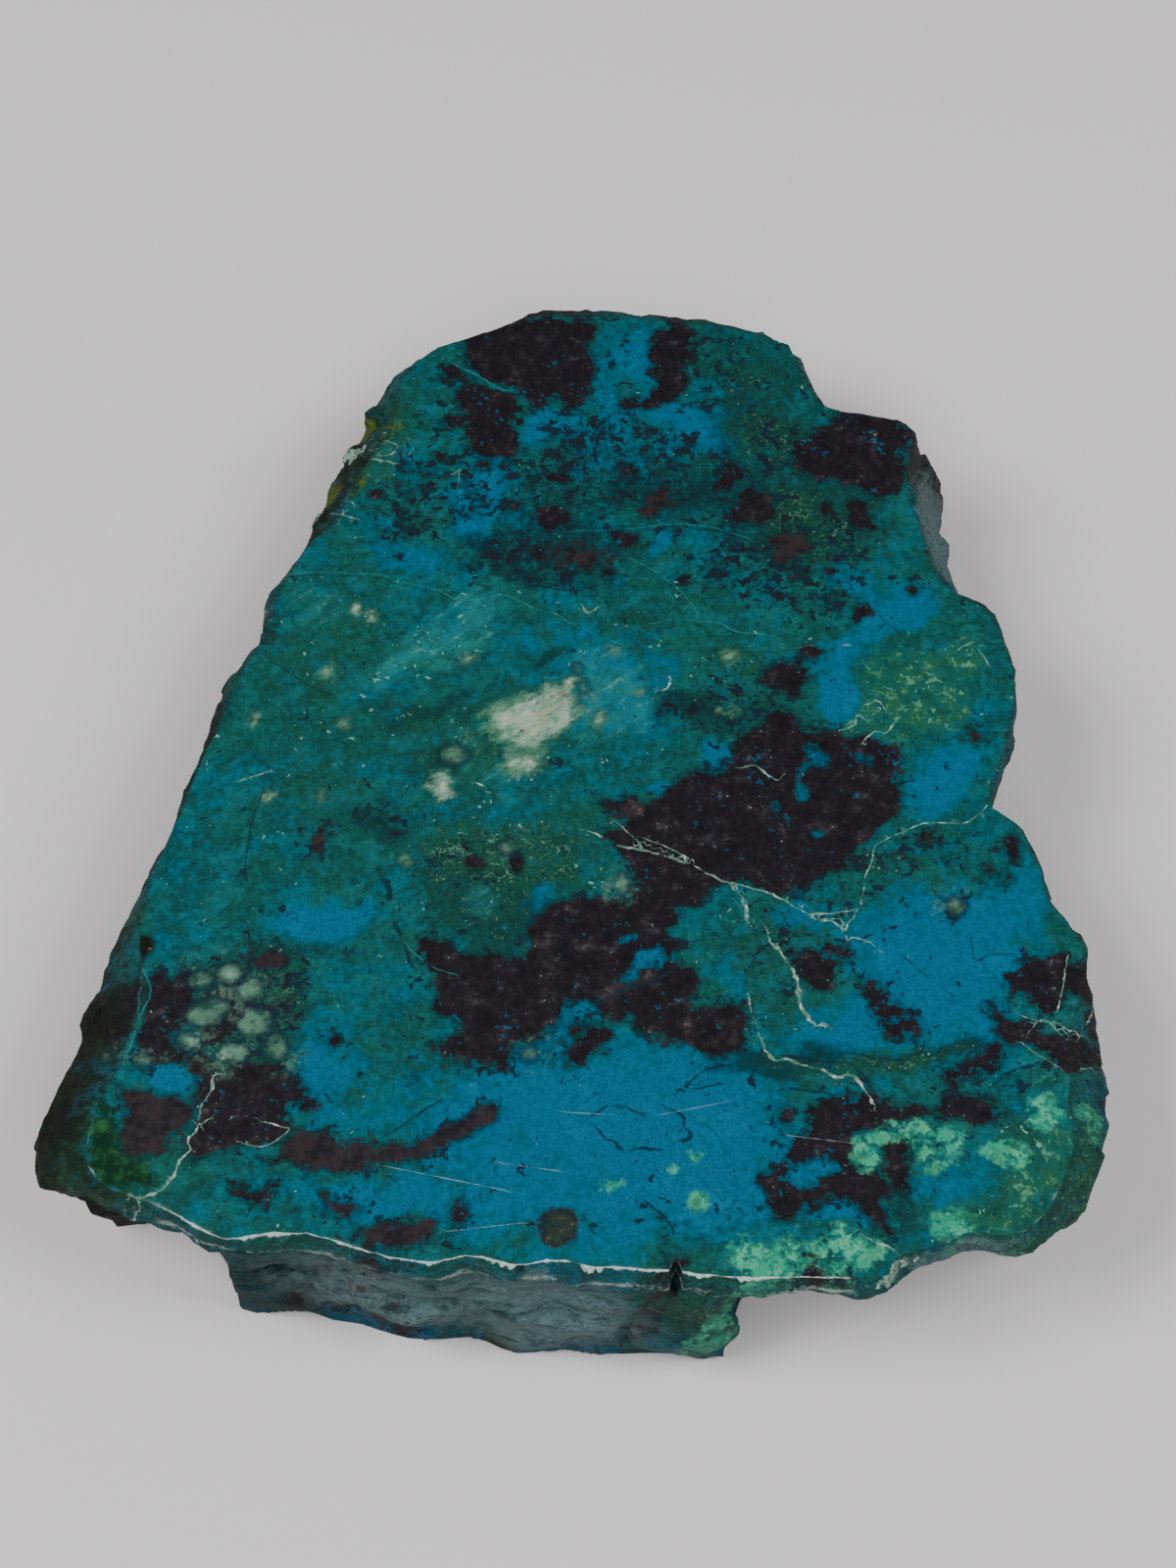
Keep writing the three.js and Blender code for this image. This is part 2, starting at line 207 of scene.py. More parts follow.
class Bench:
    """The node tree of one finish, and the few ways that nodes are added to it."""

    def __init__(self, material: bpy.types.Material) -> None:
        """Clear the material's tree and keep it."""
        material.use_nodes = True
        self.tree = material.node_tree
        self.tree.nodes.clear()

    def node(self, kind: str, settings: dict[str, object], sockets: dict[int | str, object]) -> bpy.types.Node:
        """Add a node: its settings first, then the values or links of its sockets.

        Args:
            kind: The node's type.
            settings: Its properties.
            sockets: Values or wrapped sockets, by input name or number.

        Returns:
            The node.
        """
        made = self.tree.nodes.new(kind)
        for name, value in settings.items():
            setattr(made, name, value)
        for key, value in sockets.items():
            plug(self.tree, made.inputs[key], value)
        return made

    def out(self, made: bpy.types.Node, output: int | str = 0) -> Sock:
        """Wrap one output of a node."""
        return Sock(self.tree, made.outputs[output])

    def mark(self, mark: Mark, part: str = "") -> Sock:
        """Read a mark's mesh attribute."""
        settings = {"attribute_name": mark.value + part, "attribute_type": "GEOMETRY"}
        return self.out(self.node("ShaderNodeAttribute", settings, {}), "Fac")

    def millimetres(self) -> Sock:
        """Give the place in the stone, in millimetres."""
        place = self.out(self.node("ShaderNodeTexCoord", {}, {}), "Object")
        settings = {"operation": "SCALE"}
        return self.out(self.node("ShaderNodeVectorMath", settings, {"Vector": place, "Scale": 1 / MM}))

    def stretched(self, place: Sock, by: tuple[float, float, float], turn: float = 0.0) -> Sock:
        """Stretch the pattern that is read at a place, along axes turned about Z by degrees."""
        sockets = {"Vector": place, "Rotation": (0.0, 0.0, math.radians(turn)), "Scale": by}
        return self.out(self.node("ShaderNodeMapping", {"vector_type": "TEXTURE"}, sockets))

    def grain(self, place: Sock, size: float, detail: float = 3.0, rough: float = 0.55, twist: float = 0.0) -> Sock:
        """Add a noise centred on 0, about -1 to 1.

        Args:
            place: Where it is read, in millimetres.
            size: Distance from one swell to the next, in millimetres.
            detail: Octaves of finer swells.
            rough: Strength of each octave against the last.
            twist: How far the noise is twisted by itself.

        Returns:
            The noise.
        """
        sockets = {"Vector": place, "Scale": 1 / size, "Detail": detail, "Roughness": rough, "Distortion": twist}
        return (self.out(self.node("ShaderNodeTexNoise", {}, sockets), "Fac") - 0.5) * 4.6

    def curls(self, place: Sock, size: float, thin: float) -> Sock:
        """Give a mask of fine curling threads.

        Args:
            place: Where it is read, in millimetres.
            size: Distance from one curl to the next.
            thin: Half-width of the threads, as a share of the noise.

        Returns:
            The mask.
        """
        return abs(self.grain(self.warp(place, size * 1.1, size * 0.8), size, 2.0, 0.55)).ramp(thin, thin * 0.2)

    def cells(self, place: Sock, size: float, feature: str = "F1", spread: float = 1.0) -> bpy.types.Node:
        """Add a pattern of cells about one size apart."""
        sockets = {"Vector": place, "Scale": 1 / size, "Randomness": spread}
        return self.node("ShaderNodeTexVoronoi", {"feature": feature}, sockets)

    def warp(self, place: Sock, size: float, reach: float) -> Sock:
        """Shift a place by a noise, so that what is read there wavers.

        Args:
            place: The place, in millimetres.
            size: Size of the noise's swells.
            reach: Furthest shift.

        Returns:
            The shifted place.
        """
        swirl = self.node("ShaderNodeTexNoise", {}, {"Vector": place, "Scale": 1 / size, "Detail": 2.0})
        centred = self.node("ShaderNodeVectorMath", {"operation": "SUBTRACT"}, {0: self.out(swirl, "Color"), 1: (0.5,) * 3})
        sockets = {0: self.out(centred), 1: (2 * reach,) * 3, 2: place}
        return self.out(self.node("ShaderNodeVectorMath", {"operation": "MULTIPLY_ADD"}, sockets))

    def mix(self, first: object, second: object, share: Sock | float, blend: str = "MIX") -> Sock:
        """Mix two colours.

        Args:
            first: The colour where share is 0.
            second: The colour where share is 1.
            share: How much of the second shows.
            blend: The blend mode.

        Returns:
            The mixed colour.
        """
        settings = {"data_type": "RGBA", "blend_type": blend, "clamp_factor": True}
        return self.out(self.node("ShaderNodeMix", settings, {0: share, 6: first, 7: second}), 2)

    def shade(self, colour: Sock, by: Sock) -> Sock:
        """Brighten or darken a colour by a factor about 1."""
        settings = {"operation": "SCALE"}
        return self.out(self.node("ShaderNodeVectorMath", settings, {"Vector": colour, "Scale": by}))


def smooth_path(points: tuple[Point, ...], closed: bool, steps: int = 4) -> np.ndarray:
    """Draw a smooth curve through points, as short straight runs.

    Args:
        points: The points in order.
        closed: Whether the last joins the first.
        steps: Runs from each point to the next.

    Returns:
        The curve's points, the first repeated at the end of a closed one.
    """
    knots = np.array(points, float)
    before, after = (knots[-1:], knots[:2]) if closed else (2 * knots[:1] - knots[1:2], 2 * knots[-1:] - knots[-2:-1])
    padded = np.concatenate([before, knots, after])
    drawn = []
    for a, b, c, d in zip(padded, padded[1:], padded[2:], padded[3:]):
        for step in range(steps):
            t = step / steps
            drawn.append(0.5 * (2 * b + (c - a) * t + (2 * a - 5 * b + 4 * c - d) * t**2 + (3 * b - a - 3 * c + d) * t**3))
    drawn.append(padded[-2])
    return np.array(drawn)


def nearest_on(path: np.ndarray, places: np.ndarray) -> tuple[np.ndarray, np.ndarray, np.ndarray]:
    """Find the nearest point of a path to each place.

    Args:
        path: The path's points.
        places: Places on the plan.

    Returns:
        The distances, the nearest points, and 1 or -1 for the side of the path.
    """
    least = np.full(len(places), 1e9)
    nearest = np.zeros_like(places)
    side = np.ones(len(places))
    for start, end in zip(path, path[1:]):
        run = end - start
        from_start = places - start
        along = np.clip(from_start @ run / max(run @ run, 1e-12), 0, 1)
        spot = start + along[:, None] * run
        gap = ((places - spot) ** 2).sum(1)
        closer = gap < least
        least[closer] = gap[closer]
        nearest[closer] = spot[closer]
        side[closer] = np.where(run[0] * from_start[closer, 1] > run[1] * from_start[closer, 0], 1, -1)
    return np.sqrt(least), nearest, side


def inside(path: np.ndarray, places: np.ndarray) -> np.ndarray:
    """Tell which places are inside a closed path."""
    within = np.zeros(len(places), bool)
    x, y = places.T
    for (x0, y0), (x1, y1) in zip(path, path[1:]):
        if y0 != y1:
            within ^= ((y0 > y) != (y1 > y)) & (x < x0 + (y - y0) * (x1 - x0) / (y1 - y0))
    return within


def oval(x: float, y: float, across: float, deep: float, turn: float) -> np.ndarray:
    """Draw an oval on the plan from its middle, its two half-widths and its turn in degrees."""
    angles = np.linspace(0, 2 * math.pi, 17)
    tilt = math.radians(turn)
    flat = np.stack([across * np.cos(angles), deep * np.sin(angles)], 1)
    return flat @ np.array([[math.cos(tilt), math.sin(tilt)], [-math.sin(tilt), math.cos(tilt)]]) + (x, y)


def wavered(plan: np.ndarray) -> np.ndarray:
    """Shift places on the plan by a smooth noise, so that soft ovals lose their even shape."""
    shifted = plan.copy()
    for number, (x, y) in enumerate(plan):
        for size, reach in ((3.4, 1.3), (1.2, 0.55)):
            swirl = noise.noise_vector(Vector((x / size, y / size, size)))
            shifted[number] += (swirl.x * reach, swirl.y * reach)
    return shifted


@dataclass
class Fields:
    """What the marks come to at each place of the stone, one array to a mark."""

    places: np.ndarray
    wavering: np.ndarray
    values: dict[str, np.ndarray] = field(default_factory=dict)
    reach: float = 1.6
    streak_reach: float = 0.45

    def array(self, name: str, start: float) -> np.ndarray:
        """Return a named array, made on first use."""
        return self.values.setdefault(name, np.full(len(self.places), start))

    def near(self, path: np.ndarray, reach: float) -> np.ndarray:
        """Return the numbers of the places within reach of a path's box."""
        low, high = path.min(0) - reach, path.max(0) + reach
        return np.flatnonzero(((self.places > low) & (self.places < high)).all(1))

    def depth_in(self, path: np.ndarray) -> tuple[np.ndarray, np.ndarray]:
        """Measure how deep the places near a closed path lie in it, negative outside."""
        near = self.near(path, self.reach)
        away, _, _ = nearest_on(path, self.places[near])
        return near, np.where(inside(path, self.places[near]), away, -away)

    def fill(self, kind: Mark, path: np.ndarray) -> None:
        """Add a closed shape of a kind."""
        depth = self.array(kind.value, -self.reach)
        near, deep = self.depth_in(path)
        depth[near] = np.maximum(depth[near], deep)

    def clear(self, kinds: tuple[Mark, ...], path: np.ndarray) -> None:
        """Take a closed shape out of the shapes of some kinds."""
        near, deep = self.depth_in(path)
        for kind in kinds:
            depth = self.array(kind.value, -self.reach)
            depth[near] = np.minimum(depth[near], -deep)

    def draw(self, kind: Mark, path: np.ndarray, width: float) -> None:
        """Add a line of a kind: how far across it each place lies, in half-widths, and how near."""
        across = self.array(kind.value, 9.0)
        gap = self.array(kind.value + "_gap", self.streak_reach)
        near = self.near(path, self.streak_reach)
        away, _, side = nearest_on(path, self.places[near])
        nearer = away < gap[near]
        gap[near[nearer]] = away[nearer]
        across[near[nearer]] = (side * away)[nearer] / (width / 2)

    def cloud(self, kind: Mark, share: np.ndarray) -> None:
        """Add a soft cloud of a kind, given its strength at every place."""
        whole = self.array(kind.value, 0.0)
        whole += share - whole * share


@dataclass(frozen=True)
class Patch:
    """A filled shape of one kind on the plan of the face."""

    kind: Mark
    outline: tuple[Point, ...]

    def lay(self, fields: Fields) -> None:
        """Add the patch to the fields."""
        fields.fill(self.kind, smooth_path(self.outline, True))


@dataclass(frozen=True)
class Blot:
    """A small oval of one kind, from its middle, half-widths and turn."""

    kind: Mark
    x: float
    y: float
    across: float
    deep: float
    turn: float = 0.0

    def lay(self, fields: Fields) -> None:
        """Add the blot to the fields."""
        fields.fill(self.kind, oval(self.x, self.y, self.across, self.deep, self.turn))


@dataclass(frozen=True)
class Window:
    """A gap in the dark patches, where the blue stone shows."""

    outline: tuple[Point, ...]
    dark: tuple[Mark, ...] = (Mark.OXIDE, Mark.RUST)
    blue: float = 1.0

    def lay(self, fields: Fields) -> None:
        """Take the window out of the dark patches, and let clear blue show in it."""
        path = smooth_path(self.outline, True)
        fields.clear(self.dark, path)
        near, deep = fields.depth_in(path)
        share = np.zeros(len(fields.places))
        share[near] = np.clip(deep / 0.5 + 1, 0, 1) * self.blue
        fields.cloud(Mark.BLUE, share)


@dataclass(frozen=True)
class Streak:
    """A vein, crack or scratch along a path."""

    kind: Mark
    width: float
    path: tuple[Point, ...]

    def lay(self, fields: Fields) -> None:
        """Draw the streak into the fields."""
        fields.draw(self.kind, smooth_path(self.path, False), self.width)


@dataclass(frozen=True)
class Cloud:
    """A soft oval where something grows denser towards the middle."""

    kind: Mark
    x: float
    y: float
    across: float
    deep: float
    turn: float = 0.0
    strength: float = 1.0

    def lay(self, fields: Fields) -> None:
        """Add the cloud to the fields."""
        tilt = math.radians(self.turn)
        off = fields.wavering - (self.x, self.y)
        along = (off[:, 0] * math.cos(tilt) + off[:, 1] * math.sin(tilt)) / self.across
        aside = (off[:, 1] * math.cos(tilt) - off[:, 0] * math.sin(tilt)) / self.deep
        fade = np.clip((1.35 - np.hypot(along, aside)) / 0.95, 0, 1)
        fields.cloud(self.kind, self.strength * fade * fade * (3 - 2 * fade))


# The back third: black oxide on speckled teal, with a yellow-green crust on the left edge
BACK_MARKS = (
    # Two black masses at the back edge, parted by a grey-blue vein
    Patch(Mark.OXIDE, (
        (-6.7, 24.6), (-5.6, 24.95), (-4.8, 25.4), (-4, 25.85), (-2.6, 25.9), (0.05, 25.8),
        (0.3, 24.9), (-0.2, 24.2), (0.2, 23.4), (0.2, 21.9), (-0.35, 20.7), (-0.9, 20.35),
        (-1.4, 21.2), (-1.75, 20.9), (-2.4, 20.2), (-3, 20.5), (-3.5, 21.2), (-4.2, 21.5), (-5, 21.9),
        (-5.5, 22.3), (-6.2, 23.5), (-6, 24.2),
    )),
    Patch(Mark.OXIDE, (
        (-6.1, 21.7), (-5.5, 21.7), (-4.9, 21.36), (-3.9, 21.06), (-3.5, 20.5), (-3.8, 19.7),
        (-3.6, 18.5), (-3.4, 17.8), (-3.65, 17), (-4.5, 17.07), (-5.4, 17.25), (-5.9, 17.7),
        (-6.1, 18.4), (-6, 19.7), (-6.3, 20.3), (-6.57, 20.9),
    )),
    Streak(Mark.PALE_VEIN, 0.2, (
        (-6.8, 23), (-6, 22.5), (-5.5, 22.2), (-5, 21.8), (-4.4, 21.36), (-3.8, 21.3),
    )),
    Blot(Mark.OXIDE, -6.9, 22.4, 0.45, 0.45),
    Blot(Mark.OXIDE, -6.6, 19.4, 0.5, 0.4),
    Streak(Mark.CRACK, 0.15, ((-6.6, 19.4), (-7.6, 19.2))),
    # The hook of oxide right of the middle
    Patch(Mark.OXIDE, (
        (4.6, 25.9), (5.1, 25.5), (5.3, 24.5), (5.2, 23.6), (4.75, 22.8), (4.9, 21.8), (4.6, 21.1),
        (3.9, 20.5), (3.2, 20.2), (2.2, 20.05), (1.5, 20.3), (1.6, 20.6), (2.7, 20.7), (3.2, 21.2),
        (3.6, 21.7), (3.4, 22.3), (3.1, 23), (3.1, 24), (3.4, 25), (4.2, 25.2),
    )),
    Streak(Mark.CRACK, 0.22, ((1.6, 20.3), (1.2, 19.8), (0.3, 18.6), (0.2, 18.1))),
    # Islands in the speckled band
    Patch(Mark.OXIDE, (
        (-2.6, 13.85), (-2, 14), (-0.85, 14.05), (-0.75, 13.6), (-1, 13.1), (-1.9, 12.6), (-2.4, 13),
    )),
    Patch(Mark.RUST, (
        (3.5, 15.4), (4.1, 15.1), (4, 14.2), (3, 13.6), (2.6, 13.8), (2.8, 14.5), (3.2, 14.8),
    )),
    Patch(Mark.OXIDE, (
        (6.9, 17), (7.2, 16.5), (7.6, 15.8), (7.3, 15.55), (6.9, 15.2), (6.3, 15.3), (6.6, 16),
    )),
    Patch(Mark.OXIDE, (
        (12.4, 19.5), (12.7, 20), (13.2, 20), (14, 19.7), (15.1, 19.5), (16, 18.8), (16, 18.1),
        (15.6, 17.4), (15.6, 15.6), (14.9, 15), (14.2, 14.6), (13.4, 15.2), (12.2, 15.6), (11.2, 15.9),
        (10.4, 16.2), (10.2, 17), (10.2, 17.9), (11.1, 18.5), (11.8, 19),
    )),
    Patch(Mark.OXIDE, (
        (7.6, 14.7), (8.7, 14.9), (8.9, 14.2), (9.1, 13.5), (8.3, 13), (7.1, 13.2), (7.3, 14.2),
    )),
    Patch(Mark.RUST, ((8.8, 12.3), (10.3, 12.2), (10.7, 11.3), (10, 10.8), (9, 10.8), (8.9, 11.5))),
    Patch(Mark.OXIDE, (
        (12.7, 14.2), (13.6, 14.2), (13.7, 13.4), (13.9, 12.8), (13.4, 12.6), (12.9, 13), (12.7, 13.6),
    )),
    Patch(Mark.OXIDE, ((1.3, 12.5), (2.4, 12.2), (2.3, 11.6), (1.9, 11.4), (1.2, 11.9))),
    Blot(Mark.OXIDE, 2.1, 16.2, 0.35, 0.35),
    Blot(Mark.OXIDE, 11.6, 13.9, 0.3, 0.35),
    Blot(Mark.OXIDE, -5.1, 16.6, 0.3, 0.2),
    Blot(Mark.OXIDE, -4.1, 16.4, 0.15, 0.15),
    Blot(Mark.OXIDE, -3.5, 13.9, 0.25, 0.2),
    Blot(Mark.OXIDE, -1.5, 15.7, 0.45, 0.2, -15),
    Blot(Mark.OXIDE, -7.3, 17, 0.2, 0.2),
    Blot(Mark.OXIDE, -10.3, 14.8, 0.4, 0.35),
    Blot(Mark.OXIDE, -9.1, 15.3, 0.25, 0.2),
    Blot(Mark.OXIDE, 11.6, 10.1, 0.25, 0.2),
    Blot(Mark.OXIDE, 10, 9.8, 0.25, 0.15),
    Blot(Mark.OXIDE, 13.2, 7.7, 0.45, 0.2, 20),
    Blot(Mark.OXIDE, 15.6, 9, 0.2, 0.2),
    Blot(Mark.OXIDE, -2.2, 11.1, 0.45, 0.2),
    Blot(Mark.OXIDE, -0.9, 11.3, 0.3, 0.3),
    Blot(Mark.RUST, -0.1, 10.8, 0.45, 0.7),
    Blot(Mark.OXIDE, 0.9, 10.1, 0.35, 0.2),
    Blot(Mark.OXIDE, 4.6, 9.7, 0.35, 0.15, -20),
    Streak(Mark.CRACK, 0.3, ((-0.1, 11.3), (-0.15, 12.4))),
    Streak(Mark.CRACK, 0.2, ((-3.4, 9.1), (-2.4, 9.25), (-1.6, 9.05), (-0.7, 9))),
    Streak(Mark.CRACK, 0.1, ((-0.8, 14), (0.6, 14.3), (2.7, 14))),
    Cloud(Mark.SPECKS, 1, 17.4, 3.6, 2.6, 0, 0.9),
    Cloud(Mark.SPECKS, -2, 10.6, 4.6, 2, 0, 1),
    Cloud(Mark.SPECKS, -8, 14.2, 2.6, 2.4, 0, 0.9),
    Cloud(Mark.SPECKS, 10, 10.6, 4.2, 3.6, 0, 0.85),
    Cloud(Mark.SPECKS, 6.5, 22.6, 1.8, 2.8, 0, 0.6),
    Cloud(Mark.SPECKS, -8.4, 17.6, 1.6, 3.2, 0, 0.5),
    Cloud(Mark.SPECKS, -3, 14, 8, 3.2, 0, 0.4),
    Cloud(Mark.SPECKS, 9, 18.2, 1.8, 2.6, 0, 0.6),
    Cloud(Mark.SPECKS, 13.6, 16.4, 2.4, 2, 0, 0.5),
    Cloud(Mark.MURK, 7.7, 20.3, 1.1, 0.9, 0, 0.8),
    Cloud(Mark.MURK, 8.4, 19.3, 1.2, 0.9, 0, 0.8),
    Cloud(Mark.MURK, 9.3, 17.4, 1.1, 1.6, 0, 0.8),
    Cloud(Mark.MURK, 10.4, 13.4, 3.4, 2, 0, 0.9),
    Cloud(Mark.MURK, -3.2, 9.6, 1.3, 0.8, 0, 0.9),
    Cloud(Mark.MURK, -5.1, 11.8, 0.8, 0.7, 0, 0.9),
    Cloud(Mark.MURK, 13.5, 20.2, 2.6, 1, 0, 0.6),
    Cloud(Mark.MURK, -1.5, 12, 3.6, 2.2, 0, 0.45),
    Cloud(Mark.MURK, 3.8, 15, 4.5, 1, 0, 0.5),
    Cloud(Mark.OLIVE, 9, 17.4, 1.8, 2.4, 0, 0.7),
    Cloud(Mark.OLIVE, 10.6, 13, 3.2, 2.2, 0, 0.5),
    Cloud(Mark.OLIVE, 14.6, 15.6, 1.4, 1.2, 0, 0.5),
    Cloud(Mark.OLIVE, 7, 22.4, 2, 2, 0, 0.3),
    # The crust's yellow-green blobs, with white rims and curls
    Blot(Mark.CRUST, -10.9, 19.5, 1, 0.75),
    Blot(Mark.CRUST, -11.9, 15.4, 0.7, 1.3, -35),
    Blot(Mark.CRUST, -9.9, 19, 0.5, 0.4),
    Cloud(Mark.OLIVE, -10.6, 17.6, 1.8, 4.6, -20, 0.9),
    Cloud(Mark.VEIL, -10.2, 17.4, 0.9, 1.6, 0, 0.5),
    Streak(Mark.CREAM_VEIN, 0.12, ((-11.2, 20.3), (-10.6, 20.75), (-9.95, 20.6))),
    Streak(Mark.CREAM_VEIN, 0.15, (
        (-11.6, 16.4), (-11.3, 16.6), (-11, 16.95), (-10.5, 16.9), (-9.6, 16.7),
    )),
    Streak(Mark.CREAM_VEIN, 0.13, ((-9.9, 18), (-9.45, 17.8), (-9.6, 17.3), (-10, 17.2))),
    Streak(Mark.CREAM_VEIN, 0.12, ((-8.8, 18.1), (-8.55, 17.8), (-8.8, 17.4))),
    Streak(Mark.CREAM_VEIN, 0.14, ((-12.6, 13.4), (-12, 13.5), (-11.4, 13.3))),
    Streak(Mark.CREAM_VEIN, 0.14, ((-12, 14.1), (-11.7, 14.4), (-11.5, 14.2))),
    Streak(Mark.CREAM_VEIN, 0.12, ((-10.6, 18.5), (-10.2, 18.2), (-10.5, 17.8))),
    # The teal lip behind the back edge
    Window(((-3.3, 26.1), (-2, 26), (0, 26), (3, 25.95), (5, 26.3), (4, 27.6), (-4, 27.6)), blue=0.2),
    # Broad murk and clearer blue between the speckles
    Cloud(Mark.MURK, 9.5, 15, 5.5, 4.5, 0, 0.65),
    Cloud(Mark.MURK, -1.5, 11, 5.5, 2.6, 0, 0.5),
    Cloud(Mark.MURK, 1, 15.6, 7, 2, 0, 0.4),
    Cloud(Mark.MURK, 8, 21.5, 3.4, 4.6, 0, 0.55),
    Cloud(Mark.OLIVE, 8.2, 20, 2.6, 4, 0, 0.45),
    Cloud(Mark.OLIVE, 11.5, 12.6, 3.6, 3, 0, 0.7),
    Cloud(Mark.SPECKS, 0, 16.6, 9, 3.4, 0, 0.5),
    Cloud(Mark.SPECKS, 8.5, 13, 7, 5, 0, 0.5),
    Cloud(Mark.SPECKS, 2, 22.6, 9, 3.8, 0, 0.4),
    Cloud(Mark.BLUE, -6, 14.5, 4.6, 5, 0, 0.22),
    Cloud(Mark.BLUE, 3, 18.4, 6.5, 3.6, 0, 0.3),
    Cloud(Mark.BLUE, 2, 23, 2.4, 3, 0, 0.5),
    # Hairline veins across the face
    Streak(Mark.PALE_VEIN, 0.1, (
        (-14.5, 9.95), (-13, 10.05), (-10, 9.9), (-9.3, 9.55), (-8, 9.25), (-7.1, 8.95), (-6.3, 8.45),
        (-5, 8.5), (-4.2, 8.75), (-3.4, 8.4), (-2.5, 7.9), (-1.4, 7.5), (-0.8, 7), (0, 6.6),
        (0.8, 6.2), (1.6, 5.8),
    )),
    Streak(Mark.CRACK, 0.07, (
        (-14.5, 9.78), (-13, 9.86), (-10, 9.72), (-9.3, 9.37), (-8, 9.07), (-7.1, 8.77), (-6.3, 8.28),
    )),
    Streak(Mark.PALE_VEIN, 0.1, (
        (2.2, 10.8), (2.8, 10.4), (3.4, 10), (3.9, 9.5), (4.4, 9), (4.9, 8.3), (5.3, 7.5),
    )),
    Streak(Mark.PALE_VEIN, 0.12, (
        (3, 7), (3.7, 7.2), (4.4, 7.3), (5.5, 7.15), (6.2, 7.1), (6.8, 6.7), (7.2, 6.55), (8.6, 6.35),
        (9.2, 6.1),
    )),
    Streak(Mark.CREAM_VEIN, 0.1, ((10.1, 5.65), (10.8, 5.8), (12.5, 5.8))),
    Streak(Mark.PALE_VEIN, 0.08, ((-1, 12.5), (2, 12.65), (4, 12.95), (6, 12.75), (8, 12))),
    Streak(Mark.CRACK, 0.08, ((-1, 12.3), (2, 12.45), (4, 12.75), (6, 12.55), (8, 11.8))),
    Streak(Mark.CREAM_VEIN, 0.09, ((-6.6, 16), (-6.3, 16.4), (-6.4, 15.6))),
)

